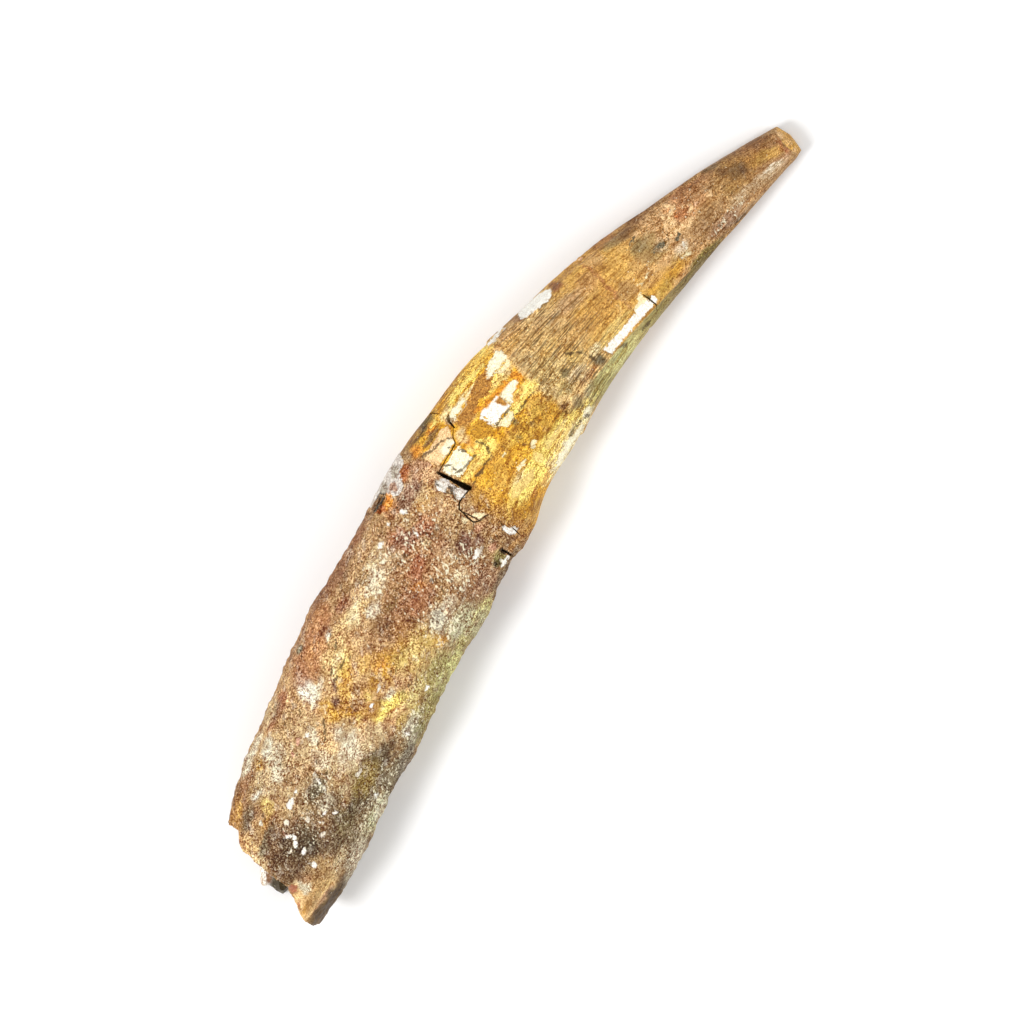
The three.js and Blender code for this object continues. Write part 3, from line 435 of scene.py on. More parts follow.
    # the sand and bone streaks near the tip's lower side, on the next line, are a painted sheen
    (150, -2, 2.2, 0.6, 3, "sand", 0.5), (138, 1.5, 3, 2, "fawn", 0.25), (149, -1.8, 1.8, 0.5, "bone", 0.6),
    (138.1, -2.2, 2, 0.8, "peach", 0.15), (136.3, 3, 2.5, 1.2, "peach", 0.1), (129, 5, 3, 1, "peach", 0.2),
    (125.6, 0.1, 1.4, 0.5, 10, "umber", 0.3), (137.5, 2.2, 4.5, 2, "cocoa", 0.13),
    (130.5, 0, 3, 1.4, "peach", 0.3), (121.5, 0, 3, 1.4, "fawn", 0.25),
    (24.5, -6.8, 3.5, 1.8, -4, "khaki", 0.4), (20.2, -10.9, 1.8, 0.6, "bone", 0.6),
    (76.3, -5.7, 1.6, 1, "gold", 0.6), (71, -3.7, 1, 0.8, "peach", 0.4), (11, -9.5, 5, 1.2, "bone", 0.3),
    (100, 0, 6, 7, "straw", 0.15), (110, 4, 5, 1.8, "fawn", 0.3), (146, -2.6, 5, 0.8, 2, "tan", 0.3),
]

# The share of the stains' red, green and blue that is left along the root: a faint warm wash.
ROOT_WASH = np.array([
    (0, 0.94, 0.96, 0.88), (20, 0.92, 0.98, 0.95), (40, 0.92, 0.95, 0.86), (50, 0.9, 0.92, 0.88),
    (74, 0.94, 0.93, 0.86), (76, 1, 1, 1),
])

# The greenish band beyond the carina: along, colour. Then how far each colour reaches along, where the band
# starts and ends, and the mm round the section, at a radius, over which its two sides fade.
BEYOND_CARINA = [(101, "moss"), (109, "pistachio"), (118, "moss"), (126, "olive"), (132, "olive")]
BEYOND_REACH = 6
BEYOND_STARTS = (99, 103)
BEYOND_ENDS = (132, 137)
BEYOND_RADIUS = 8
BEYOND_NEAR_SIDE = (0.4, -0.3)
BEYOND_FAR_SIDE = (-9, -6)

# Marks on the worn tip: oval, colour, strength.
TIP_MARKS = [
    (153, 1.7, 0.9, 0.8, "peach", 0.9), (153.9, -0.4, 0.8, 1.1, "gold", 0.7),
    (154.5, 0.6, 0.3, 1, "bronze", 0.5), (153.7, 0, 0.6, 0.9, "peach", 0.5),
    (153.9, -1.6, 0.5, 0.4, "peach", 0.7),
]

# Crisp marks, chipped to the pale stone or filled with plaster: colour, mm over the skin, outline.
CHIPS = [
    ("ivory", 0.1, [(75.2, 4.5), (79.9, 4.6), (79.8, 3.5), (79.6, 1.5), (75.8, 1.4), (75.1, 3)]),
    ("peach", 0.1, [(75.4, 5.3), (75.3, 8.4), (78, 8.2), (80.4, 8.4), (81.6, 7.9), (81.3, 7), (80.4, 6),
        (79.8, 5.3)]),
    ("ivory", 0, [(77.2, 5.2), (78, 6.3), (79.6, 6.1), (80.1, 5.2)]),
    ("ochre", -0.05, [(82.6, 4), (83.5, 4.2), (86, 4.5), (86, 1.3), (84, 1), (82.6, 2.2)]),
    ("bronze", -0.1, [(82.6, 6.8), (84, 7.2), (87, 7.5), (90, 8.2), (92.6, 8.2), (92.8, 6.6), (91, 5.6),
        (89.4, 5.2), (88, 6), (85, 5.2), (82.9, 5.4)]),
    ("ivory", 0, [(83, 7.5), (83.5, 8.8), (85.2, 8.5), (87.5, 8.2), (85, 7.6)]),
    ("chalk", -0.1, [(85.9, 4.2), (86.6, 4.7), (88, 4.6), (90.4, 3.9), (90, 1.3), (86, 1.5)]),
    ("bronze", 0, [(89.3, 3.4), (89.9, 3.2), (89.9, 2.3), (89.5, 2.3)]),
    ("ivory", -0.1, [(90.5, 4.2), (91.6, 4), (92.8, 4), (94.3, 3), (93.6, 2.1), (92, 2), (90.4, 1.3)]),
    ("amber", 0.05, [(86, 5.4), (88.3, 5), (90.6, 4.6), (92.8, 4.5), (92.8, 4.1), (90.5, 4), (88, 4.7),
        (86, 5)]),
    ("amber", 0.05, [(93.2, 4.2), (94.6, 4.4), (95.2, 3.6), (95.2, 2.4), (92, 1.7), (94, 2.4), (94.4, 3)]),
    ("cream", 0, [(86, 1.1), (89.5, 0.9), (89.7, 0.2), (88.6, -0.6), (86.8, -0.2)]),
    ("ivory", 0, [(91.8, 7.1), (92.6, 7.6), (93, 8.3), (95.6, 8.6), (96.3, 7.9), (96, 6.6), (93.5, 6.4)]),
    ("cream", 0, [(92.8, 6.1), (95.3, 6.3), (95.9, 5.9), (95.2, 5.4), (93.6, 5.5)]),
    ("cream", 0, [(85.9, -5.5), (87.4, -4.9), (88.2, -5.2), (88, -5.9), (86.4, -5.9)]),
    ("cream", 0, [(81.8, -6), (82.2, -5.3), (84.4, -5.9), (83.4, -6.2)]),
    ("cream", 0.05, [(82, -2.5), (82.6, -2.1), (83.3, -2.2), (83.1, -2.7)]),
    ("chalk", 0.05, [(95.8, 9.8), (96, 10.5), (99.8, 10.3), (99.7, 9.9)]),
    ("chalk", -0.05, [(102.2, 8.9), (102.8, 9.8), (104.8, 9.7), (108.7, 8.8), (108.8, 8), (108.5, 7.2),
        (105, 7.6), (102.6, 8.3)]),
    ("cream", -0.05, [(114.8, -5.2), (115.6, -4.3), (116.4, -3.8), (117.2, -3), (118.2, -3.3),
        (118.3, -5.2)]),
    ("chalk", 0, [(106.9, -4.9), (112, -4.8), (118.3, -4.9), (118.4, -6), (112, -6.1), (107.4, -6.4)]),
    ("chalk", 0.05, [(118.7, -5), (119.2, -4.8), (119.5, -5.6), (119.2, -6.1), (118.5, -6)]),
    ("plaster", 0.15, [(67.4, 10.6), (67.5, 9.2), (68.6, 8.4), (70.2, 8.5), (70.8, 9.6), (71.6, 10.3),
        (73.4, 10.8), (74.2, 11.8), (74.5, 13), (63.5, 13), (64.5, 11.4), (67, 11.2)]),
    ("chalk", 0, [(72.3, 3.3), (72.8, 4.3), (73.5, 4.4), (73.6, 3), (73.4, 1.2), (73.9, -0.9), (73, -0.9),
        (72.6, 0.2), (73, 1.2), (72.3, 2.3)]),
    ("plaster", 0, [(73.5, 4.2), (74.3, 3.6), (74.2, 1.2), (74.6, -0.9), (73.9, -0.9), (73.5, 1.2),
        (73.7, 2.8)]),
    ("chalk", 0.1, [(72.4, -8.6), (73, -9), (73.2, -9.9), (74, -10.4), (74.1, -11.1), (73, -11.3),
        (72.2, -10.3)]),
    ("chalk", 0.1, [(66.7, -11.7), (69.1, -11.6), (69.1, -12.3), (67, -12.3)]),
    ("chalk", 0.1, [(69.7, -11.6), (70, -12), (69.7, -12.2)]),
    ("chalk", 0.2, [(65.7, 6.8), (66.6, 7), (67, 6.4), (66.6, 5.6), (66, 6.1)]),
    ("chalk", 0.2, [(65.1, -7.6), (66.3, -6.9), (67.3, -7), (67.4, -7.8), (66, -7.9)]),
    ("cream", 0.05, [(71.5, -3.6), (72, -3.7), (73.1, -5), (72.9, -5.4), (71.7, -4.8)]),
    ("mauve", 0.15, [(68.6, 9.9), (69.2, 10.3), (69.5, 9.8), (69, 9.4)]),
    ("ash", 0.15, [(70.4, 10.8), (71.6, 11.5), (72, 11), (71, 10.5)]),
    ("ash", 0.15, [(67.6, 11.2), (68.8, 11.5), (68.4, 10.8), (67.8, 10.7)]),
    ("amber", 0, [(64.6, 10.2), (65.2, 9.1), (66.2, 8.6), (67.3, 8.7), (67.4, 10.1), (66.8, 10.5),
        (65, 10.4)]),
    ("rust", 0, [(64.1, 10.4), (64.3, 9.4), (65.1, 9.2), (65.5, 10.4)]),
    # The soot strip along the upper slit is painted shade in the slit.
    ("soot_shade", 0, [(63.7, 10.6), (65, 10.9), (67.2, 11), (67.3, 10.6), (65.5, 10.55)]),
    # Over the lower hole the olive is partly painted shade on its upper wall, and the umber in its notch is
    # painted shade; the moss is its floor's colour.
    ("olive", 0, [(66.3, -11.4), (67.3, -10.2), (69.1, -10.3), (69, -11.5)]),
    ("moss", 0, [(67.6, -11.2), (68, -10.5), (68.9, -10.6), (68.8, -11.3)]),
    ("umber", 0, [(69.1, -10.2), (69.6, -10.2), (69.6, -11.6), (69.1, -11.5)]),
    ("straw", 0.05, [(77.5, -7.5), (79, -7), (82, -7.2), (84, -7.8), (82.5, -8.7), (80, -8.4), (78.4, -8.3)]),
    ("straw", 0.05, [(84.9, -6.8), (86.4, -6.6), (86.8, -7.4), (86.4, -8.5), (85.3, -8.3)]),
    ("straw", 0.05, [(87.2, -7.5), (91, -7.1), (93.4, -7.3), (92, -7.8), (88, -8)]),
    ("straw", 0.05, [(90.5, -8.8), (93.5, -8.2), (94.6, -8.4), (93, -9.1)]),
    ("ivory", 0.05, [(85.8, -10.7), (88, -10), (91.5, -9.8), (95, -9.9), (95, -10.5), (91, -10.7),
        (87, -11)]),
    ("honey", 0.05, [(82.4, -10.2), (85.4, -9.8), (85, -10.6), (83, -10.9)]),
    ("ivory", 0.05, [(96, -9.1), (98.4, -9), (98, -9.7), (96.4, -9.8)]),
    ("lemon", 0.05, [(84, 9.4), (88, 9.3), (93, 8.8), (90, 9.7), (86, 9.9)]),
    ("lemon", 0.05, [(80, 10), (81.4, 10.1), (81.6, 9.5), (80.2, 9.5)]),
    ("brick", 0, [(2.5, -1.4), (3.1, -0.8), (4.2, -0.7), (4.1, -1.8), (3.2, -2.2)]),
    ("cream", 0.05, [(69.7, -3.2), (70.4, -2.3), (70.8, -2.6), (70.5, -3.3)]),
]

# The marks on the far wall, seen through the broken end: oval, colour. The dark bark one is painted shade on
# the wall, which lies in shadow.
FAR_WALL_MARKS = [
    (3, 0.9, 3, 1.9, "bark_shade"), (3.2, 3.9, 2.6, 1.4, "chalk"), (3.3, 3, 1.1, 0.5, 10, "cocoa"),
]

# Loose pale grains stuck in the crust, and flecks on the crown: oval, colour.
GRAINS = [
    (16.5, 3.3, 1.1, 0.5, "chalk"), (13.5, 3, 0.5, 0.4, 40, "bone"), (11.4, 2.1, 0.36, 0.6, "chalk"),
    (11.5, 1, 0.62, 0.42, 50, "chalk"), (10.7, 0.4, 0.75, 0.4, 15, "chalk"), (9.3, 0.8, 0.4, 0.28, "bone"),
    (9.9, -1.3, 0.55, 0.42, 30, "chalk"), (8.3, -3.4, 0.4, 0.55, "chalk"), (8.4, -2.4, 0.3, 0.25, "bone"),
    (13.5, -3.3, 0.6, 0.4, -40, "bone"), (15, -0.2, 0.5, 0.35, 30, "bone"), (15.3, -2.6, 0.4, 0.3, "chalk"),
    (17, -2.5, 0.45, 0.3, "chalk"), (17.6, -4, 0.45, 0.32, -20, "chalk"), (18.8, 3.2, 0.5, 0.3, "chalk"),
    (11.9, 6.9, 0.5, 0.3, 20, "bone"), (21.5, 0.2, 0.9, 0.25, 60, "chalk"),
    (20.6, -0.9, 0.9, 0.25, 40, "chalk"), (22.2, 1.2, 0.5, 0.3, 40, "bone"),
    (11.9, 2.8, 0.4, 0.3, 40, "rose"), (15.4, 0.9, 0.4, 0.3, "peach"), (24, 5.6, 0.7, 0.3, 60, "rose"),
    (26.2, 5.7, 0.7, 0.3, 20, "rose"), (27.8, 4.7, 0.4, 0.3, "chalk"), (36.2, -3.2, 0.45, 0.3, "chalk"),
    (39.2, -3.2, 0.7, 0.3, "bone"), (25, -5.4, 0.6, 0.3, -20, "bone"), (34, -10.4, 0.4, 0.3, "chalk"),
    (22.6, -9.3, 0.4, 0.3, "chalk"), (42.6, -10.3, 0.5, 0.3, "chalk"), (63.5, 7.5, 0.4, 0.3, "chalk"),
    (60, 6.9, 0.6, 0.4, "chalk"), (64.3, 2.9, 0.25, 0.6, -10, "chalk"), (67.8, -7.7, 0.35, 0.25, "bone"),
    (53.5, 3.4, 0.5, 0.3, 30, "ivory"), (49.2, 3.6, 0.4, 0.3, "bone"), (57.8, 5.5, 0.4, 0.3, "ivory"),
    (61.5, -4.6, 0.5, 0.3, 20, "ivory"), (59, -3.2, 0.5, 0.25, 30, "bone"), (131.8, 3.3, 0.5, 0.35, "peach"),
    (126.1, 0.1, 0.6, 0.25, 10, "slate"), (131.4, 4.2, 0.7, 0.3, -60, "peach"),
    (129.6, 3.3, 0.5, 0.35, 50, "peach"), (128.9, 1.8, 0.6, 0.4, 60, "peach"),
    (130.2, 1.6, 0.7, 0.4, 20, "peach"), (129.6, 0.1, 0.5, 0.35, "peach"),
    (132.3, -0.3, 0.8, 0.3, 30, "peach"), (133.8, 1.2, 0.7, 0.3, 40, "peach"), (131, 3, 0.6, 0.3, "peach"),
    (137.6, 1, 0.5, 0.3, "peach"), (125.3, 0.3, 0.9, 0.25, 10, "slate"), (123.3, 4, 0.8, 0.2, 10, "slate"),
    (129.2, -0.8, 0.7, 0.25, 20, "slate"), (129.2, -2.1, 0.5, 0.3, 30, "bone"),
    (128.4, -3.8, 0.5, 0.25, -30, "cream"), (119, -1.9, 0.6, 0.25, -30, "cream"),
    (120.4, -2, 0.5, 0.2, 20, "cream"), (115.6, 7.8, 0.35, 0.3, "rose"),
]
GRAIN_RISE = 0.22
GRAIN_ROUNDNESS = 0.5
CHIP_STEP = (0.15, -0.25)  # from outside a chip's outline to inside it, in mm

# Where pale grains crowd the crust: oval, amount.
SALTED = [
    (16, -0.5, 7, 5, 0.5), (22, -9.8, 9, 1.8, -6, 0.8), (36, -10.6, 4, 1.8, -4, 0.9),
    (20.5, 8.6, 4, 3.4, 0.4), (27, 3.5, 5, 1.8, 20, 0.5), (21, -0.5, 2.5, 2, 0.8), (30, -2, 3.4, 3, 0.3),
    (50.5, 3, 3, 1.6, 0.5), (55, 5.4, 6, 2.4, 0.95), (54, -8, 4, 4, 0.9), (62.5, -6.4, 6, 4.4, 0.75),
    (64, 3, 7, 4, 0.65), (69, 7, 4, 2.4, 0.5), (44, -10, 5, 2.4, 0.4), (34.5, 7.2, 2.4, 2, 0.6),
    (13, -8.4, 5, 2, -8, 0.4), (29, -7, 9, 2, -4, 0.2), (128.5, -3, 2, 1.4, 0.6), (133, 2, 5, 2.4, 0.3),
    (138, -3.6, 6, 1.5, 3, 0.7), (121, -2.4, 4, 1.6, 0.2), (108, -4, 4, 1, 0.3), (61, 0, 13, 9, 0.4),
    (14, 0, 9, 8, 0.2),
]

# Where the dentine's pale layers flake: oval, amount.
FLAKY = [
    (87, -8.6, 11, 2.3, -1, 1), (89, 9.6, 7, 1.2, -3, 0.7), (92, 5.6, 4, 0.8, 4, 0.6), (79, 0.6, 4, 1, 0.6),
    (91, 0.3, 5, 1, 0.7), (97, -8.6, 5, 1, 0.5),
]

# Thin dark lines, cracks too fine to open: along, across.
FINE_CRACKS = [
    [(76, 4.4), (76.7, 3.7), (75.9, 2.3), (78, 1.7), (80.2, 1.3)], [(79.6, 4), (79.7, 2.9)],
    [(82.2, 2.2), (82.4, 0.6), (81.5, -0.9), (76, -0.9)], [(79.3, 5.1), (79, 5.6)],
    [(75.3, 8.3), (79.6, 7), (80.4, 6)], [(86, 1.3), (89.6, 1), (89.8, 0.3), (88.5, -0.7)],
    [(88, -0.7), (91, -0.3), (95, -0.2)],
    [(102.3, -0.7), (103.6, -1.9), (104.3, -3), (104.6, -4.2), (104.8, -5)], [(42, 6), (43.5, 6.6)],
    [(38, 4.8), (39.8, 5.4)], [(37.6, 4), (41, 4)], [(92, -9.5), (94.6, -9.4), (97, -9.8)],
    [(72.9, 4), (73.5, 2.4), (74, 1)], [(72.7, 1.3), (73.8, 0)], [(109.4, -7), (110.6, -7)],
    [(114.4, -7.5), (116.4, -7.4)], [(28, 1.5), (31, 3.2)],
]

# How much the grain lightens and darkens the surface: along, amount.
CONTRAST = np.array([
    (-2, 0.5), (5, 1), (9, 1.3), (22, 1.2), (30, 0.9), (50, 0.9), (62, 1.1), (74, 1.1), (77, 0.65),
    (94.5, 0.75), (96, 0.7), (104, 0.55), (109, 0.35), (124, 0.4), (128, 0.9), (138, 0.9), (142, 0.5),
    (155, 0.5),
])

# --- Small tools -------------------------------------------------------------------------------------


def smoothstep(low, high, value):
    share = np.clip((value - low) / (high - low), 0, 1)
    return share * share * (3 - 2 * share)


def fade(run, value):
    """1 before the run from one place to another, and 0 after it."""
    return 1 - smoothstep(*run, value)


def lerp(start, end, share):
    return start + (end - start) * share


def unit(vectors):
    return vectors / np.linalg.norm(vectors, axis=-1, keepdims=True)


def hump(distance, half_width):
    return np.exp(-((distance / half_width) ** 2))


def straight_table(table, at):
    """The table's values at a place between its rows, on straight lines."""
    return np.stack([np.interp(at, table[:, 0], values) for values in table[:, 1:].T], axis=-1)


def smooth_table(table, at):
    """The table's values at a place between its rows, on a curve with no corners."""
    places, values = table[:, 0], table[:, 1:]
    slopes = np.gradient(values, places, axis=0)
    row = np.clip(np.searchsorted(places, at) - 1, 0, len(places) - 2)
    gap = (places[row + 1] - places[row])[..., None]
    share = np.clip((at - places[row])[..., None] / gap, 0, 1)
    square, cube = share**2, share**3
    return (
        (2 * cube - 3 * square + 1) * values[row]
        + (cube - 2 * square + share) * gap * slopes[row]
        + (3 * square - 2 * cube) * values[row + 1]
        + (cube - square) * gap * slopes[row + 1]
    )


def uneven(places, grain, octaves=2, seed=0):
    """Smooth random values, about -1 to 1, with lumps of the given size in mm."""
    shift = Vector((17.3, 5.1, 9.7)) * seed  # any step that lands in another part of the noise
    return np.array([noise.fractal(Vector(place) / grain + shift, 1.0, 2.0, octaves) for place in places])


# --- The skin's shape --------------------------------------------------------------------------------


def curve_at(share):
    share = np.asarray(share)[..., None]
    return (1 - share) ** 2 * CURVE_START + 2 * (1 - share) * share * CURVE_BEND + share**2 * CURVE_TIP


SHARES = np.linspace(0, 1, 2001)
CURVE_POINTS = curve_at(SHARES)
STEPS = np.linalg.norm(np.diff(CURVE_POINTS, axis=0), axis=1)
CURVE_ALONG = np.concatenate([[0], np.cumsum(STEPS)]) - BEFORE_ROOT_END


def centreline(along):
    """The centreline's point, and its directions along, across and up, at each distance along it."""
    share = np.interp(along, CURVE_ALONG, SHARES)[..., None]
    tangent = unit((1 - share) * (CURVE_BEND - CURVE_START) + share * (CURVE_TIP - CURVE_BEND))
    across = unit(np.cross((0, 0, 1), tangent))
    return curve_at(share[..., 0]), tangent, across, np.cross(tangent, across)


def enamel_edge(turn):
    angle = np.radians(turn)
    ragged = ENAMEL_EDGE_RAGGED * np.sin(ENAMEL_EDGE_POINTS * angle)
    return ENAMEL_EDGE + ENAMEL_EDGE_SKEW * np.sin(angle) + ragged


def carina_turn(along):
    return CARINA_TURN_AT_NECK + CARINA_SWING * np.maximum(0, along - CARINA_SWINGS_FROM)


def tip_slant(turn):
    return TIP_SLANT * np.cos(np.radians(turn + TIP_SWING))


def arc(turn, from_turn, radius):
    """How far round the section, in mm, one turn lies from another."""
    return np.radians((turn - from_turn + 180) % 360 - 180) * radius


def relief(along, turn, places, radius):
    """Height in mm over the plain oval: crust, enamel, ridges, hollows and roughness."""
    crown = smoothstep(enamel_edge(turn) - STEP_RUN, enamel_edge(turn), along)
    root = fade((NECK - NECK_RUN, NECK), along)
    height = CRUST_THICKNESS * root + ENAMEL_THICKNESS * crown
    for seed, (size, tall, on_crown) in enumerate(LUMPS, start=1):
        height += lerp(on_crown, 1, root) * tall * uneven(places, size, seed=seed)
    for dent_along, long, dent_turn, wide, deep in DENTS:
        height -= deep * hump(along - dent_along, long) * hump(arc(turn, dent_turn, radius), wide)
    edge = arc(turn, carina_turn(along), radius)
    other_edge = arc(turn, carina_turn(along) + OTHER_CARINA, radius)
    edged = crown * fade(CARINA_FADES, along)
    height += CARINA_HEIGHT * edged * (hump(edge, CARINA_WIDTH) + hump(other_edge, CARINA_WIDTH))
    height -= CHANNEL_DEPTH * edged * hump(edge - CHANNEL_PLACE, CHANNEL_WIDTH)
    flutes = np.cos(np.radians((turn - carina_turn(along)) * FLUTES))
    height += FLUTE_DEPTH * crown * fade(FLUTES_FADE, along) * flutes
    return height - JOIN_DEPTH * hump(along - JOIN, JOIN_WIDTH)


def oval_reach(along, across, middle_along, middle_across, long, wide, lean=0):
    """How far each place is from the middle of an oval mark, where its edge is 1."""
    angle = np.radians(lean)
    run, rise = along - middle_along, across - middle_across
    return np.hypot(
        (run * np.cos(angle) + rise * np.sin(angle)) / long,
        (rise * np.cos(angle) - run * np.sin(angle)) / wide,
    )


def blot(along, across, mark, softness):
    """How much of an oval mark lies at each place, 0 to 1."""
    return fade((1 - softness, 1 + softness), oval_reach(along, across, *mark))


def oval_edge(along, across, mark):
    """Roughly how far in mm each place is outside an oval mark's edge, negative inside."""
    return (oval_reach(along, across, *mark) - 1) * min(mark[2:4])


def distance_to_path(along, across, path):
    nearest = np.full(len(along), np.inf)
    for (a, b), (c, d) in zip(path, path[1:]):
        run, rise = c - a, d - b
        share = np.clip(((along - a) * run + (across - b) * rise) / (run * run + rise * rise), 0, 1)
        nearest = np.minimum(nearest, np.hypot(along - a - share * run, across - b - share * rise))
    return nearest


def outline_edge(along, across, outline):
    """How far in mm each place is outside an outline, negative inside."""
    inside = np.zeros(len(along), bool)
    closed = outline + outline[:1]
    for (a, b), (c, d) in zip(closed, closed[1:]):
        if b != d:
            crosses = (across < b) != (across < d)
            inside ^= crosses & (along < a + (across - b) / (d - b) * (c - a))
    return distance_to_path(along, across, closed) * np.where(inside, -1, 1)


def chip_relief(along, turn, across):
    """How far the crisp marks and loose grains stand over the skin around them, or lie under it."""
    height = np.zeros(len(along))
    for _, rise, outline in CHIPS:
        height += rise * smoothstep(*CHIP_STEP, outline_edge(along, across, outline))
    for *mark, _ in GRAINS:
        height += GRAIN_RISE * blot(along, across, mark, GRAIN_ROUNDNESS)
    return height * (np.abs(turn) < 90)


def skin(along, turn, share):
    """Places in mm on the skin, or inside it by a share of the section, the ways that face out and radii."""
    convex, concave, half = np.moveaxis(smooth_table(SECTIONS, along), -1, 0)
    point, _, across, up = centreline(along)
    sine, cosine = np.sin(np.radians(turn)), np.cos(np.radians(turn))
    reach = np.where(sine > 0, convex, concave)
    plain = point + across * (reach * sine * share)[:, None] + up * (half * cosine * share)[:, None]
    normal = unit(across * (sine / reach)[:, None] + up * (cosine / half)[:, None])
    return plain, normal, np.hypot(reach * cosine, half * sine)


def unroll(places):
    """The along, turn and share of the section of places in mm, and their distance across."""
    along = np.interp(places[:, 0], CURVE_POINTS[:, 0], CURVE_ALONG)
    for _ in range(5):  # each pass comes closer to the foot of the perpendicular
        point, tangent, across, up = centreline(along)
        along = along + ((places - point) * tangent).sum(1)
    offset = places - point
    sideways, upwards = (offset * across).sum(1), (offset * up).sum(1)
    convex, concave, half = smooth_table(SECTIONS, along).T
    reach = np.where(sideways > 0, convex, concave)
    turn = np.degrees(np.arctan2(sideways / reach, upwards / half))
    return along, turn, np.hypot(sideways / reach, upwards / half), sideways


# --- The tooth's mesh --------------------------------------------------------------------------------


def primitive(add, **settings):
    """Adds one primitive with nothing else selected, and returns its object."""
    bpy.ops.object.select_all(action="DESELECT")
    add(**settings)
    return bpy.context.object


def mesh_places(piece):
    places = np.empty(len(piece.data.vertices) * 3)
    piece.data.vertices.foreach_get("co", places)
    return places.reshape(-1, 3)


def move_vertices(piece, places):
    piece.data.vertices.foreach_set("co", np.ascontiguousarray(places).ravel())
    piece.data.update()


def flat_sheet(rows, columns):
    """A grid to be rolled, and its vertices' rows and columns, each from 0 to 1."""
    add = bpy.ops.mesh.primitive_grid_add
    sheet = primitive(add, x_subdivisions=rows, y_subdivisions=columns, size=1)
    sheet.data.uv_layers.active.name = "OFBake"
    return sheet, mesh_places(sheet)[:, :2] + 0.5


def close_up(fill_ends=False):
    """Merges the seam and poles of the sheet that was rolled last, fills its open ends if asked, and turns
    its faces outwards."""
    bpy.ops.object.mode_set(mode="EDIT")
    bpy.ops.mesh.select_all(action="SELECT")
    bpy.ops.mesh.remove_doubles(threshold=MERGE_WITHIN * MM)
    if fill_ends:
        bpy.ops.mesh.select_all(action="DESELECT")
        bpy.ops.mesh.select_non_manifold()
        bpy.ops.mesh.edge_face_add()
        bpy.ops.mesh.select_all(action="SELECT")
    bpy.ops.mesh.normals_make_consistent(inside=False)
    bpy.ops.object.mode_set(mode="OBJECT")


def break_edge(turn, side):
    """How far along the break stands; side 1 is the outside of the wall and 2 the inside."""
    return np.interp((turn + 90) % 360 - 90, BREAK[:, 0], BREAK[:, side])


def ragged_break(turn, side):
    """The break's edge with its corners worn round and small chips along it."""
    worn = sum(break_edge(turn + step, side) for step in (-1, 0, 1)) / 3
    ring = np.stack([np.cos(np.radians(turn)), np.sin(np.radians(turn)), 0 * turn], axis=1)
    for seed, (size, reach) in enumerate(BREAK_CHIPS, start=10):
        worn += reach * uneven(ring, size, seed=seed)
    return worn


def roll_sheet(row, turn):
    """Places in mm of the sheet's rows and columns once it is rolled over the tooth."""
    knots = np.cumsum([0, TIP_ROWS, SKIN_ROWS, BREAK_ROWS, CAVITY_ROWS])
    over_tip, down_skin, over_break, down_cavity = (
        np.clip((row - start) / (end - start), 0, 1) for start, end in zip(knots, knots[1:])
    )
    slant = tip_slant(turn)
    tip_along = TIP_MIDDLE + TIP_DOME * (1 - over_tip**2) - slant * over_tip
    outer = ragged_break(turn, 1)
    inner = ragged_break(turn, 2)
    along = np.select(
        [row < knots[1], row <= knots[2], row <= knots[3]],
        [tip_along, lerp(TIP_MIDDLE - slant, outer, down_skin), lerp(outer, inner, over_break)],
        lerp(inner, CAVITY_DEPTH, down_cavity**0.7),  # rows closer together towards its floor
    )
    share = over_tip * lerp(1, WALL_INSIDE, over_break) * (1 - down_cavity**CAVITY_TAPER)
    plain, normal, radius = skin(along, turn, share)
    outside = smoothstep(0.9, 1, share)  # the two kinds of relief meet just inside the skin
    lumps = CAVITY_LUMP_HEIGHT * uneven(plain, CAVITY_LUMP, seed=4) * smoothstep(0, 0.3, share)
    inside_height = lumps * np.where(row > knots[2], 1, SMOOTHER_TIP)
    _, _, _, across = unroll(plain)
    outside_height = relief(along, turn, plain, radius) + chip_relief(along, turn, across)
    return plain + normal * lerp(inside_height, outside_height, outside)[:, None]


def rolled_skin():
    """A flat sheet, rolled into the tooth's closed skin."""
    tooth, sheet = flat_sheet(SHEET_ROWS, COLUMNS)
    places = roll_sheet(sheet[:, 0] * SHEET_ROWS, sheet[:, 1] * 360 - 180)
    places[:, 2] = np.maximum(places[:, 2], 0)
    low, high = (np.array(corner) / MM for corner in cad_box)
    move_vertices(tooth, np.clip(places, low + INSIDE_CAD_BOX, high - INSIDE_CAD_BOX) * MM)
    close_up()
    return tooth


# --- Cutting the losses ------------------------------------------------------------------------------


def turn_at(along, across):
    """The turn round the section at a distance across on the upper face."""
    convex, concave, _ = smooth_table(SECTIONS, along).T
    reach = np.where(across > 0, convex, concave)
    return np.degrees(np.arcsin(np.clip(across / reach, -0.999, 0.999)))


def finer_path(path, step):
    """The path's stations with more between them, no further apart than the step."""
    path = np.array(path, dtype=float)
    travel = np.concatenate([[0], np.cumsum(np.linalg.norm(np.diff(path[:, :2], axis=0), axis=1))])
    at = np.linspace(0, travel[-1], max(3, int(travel[-1] / step) + 1))
    return np.stack([np.interp(at, travel, column) for column in path.T], axis=1)


def lay_on_sheet(piece):
    """Gives a cutter the unrolled sheet's coordinates at the places where it stands."""
    along, turn, _, _ = unroll(mesh_places(piece) / MM)
    tip_rim = TIP_MIDDLE - tip_slant(turn)
    down_skin = (tip_rim - along) / (tip_rim - ragged_break(turn, 1))
    sheet = np.column_stack([(TIP_ROWS + SKIN_ROWS * down_skin) / SHEET_ROWS, turn / 360 + 0.5])
    corners = np.empty(len(piece.data.loops), int)
    piece.data.loops.foreach_get("vertex_index", corners)
    piece.data.uv_layers["OFBake"].data.foreach_set("uv", sheet[corners].ravel())


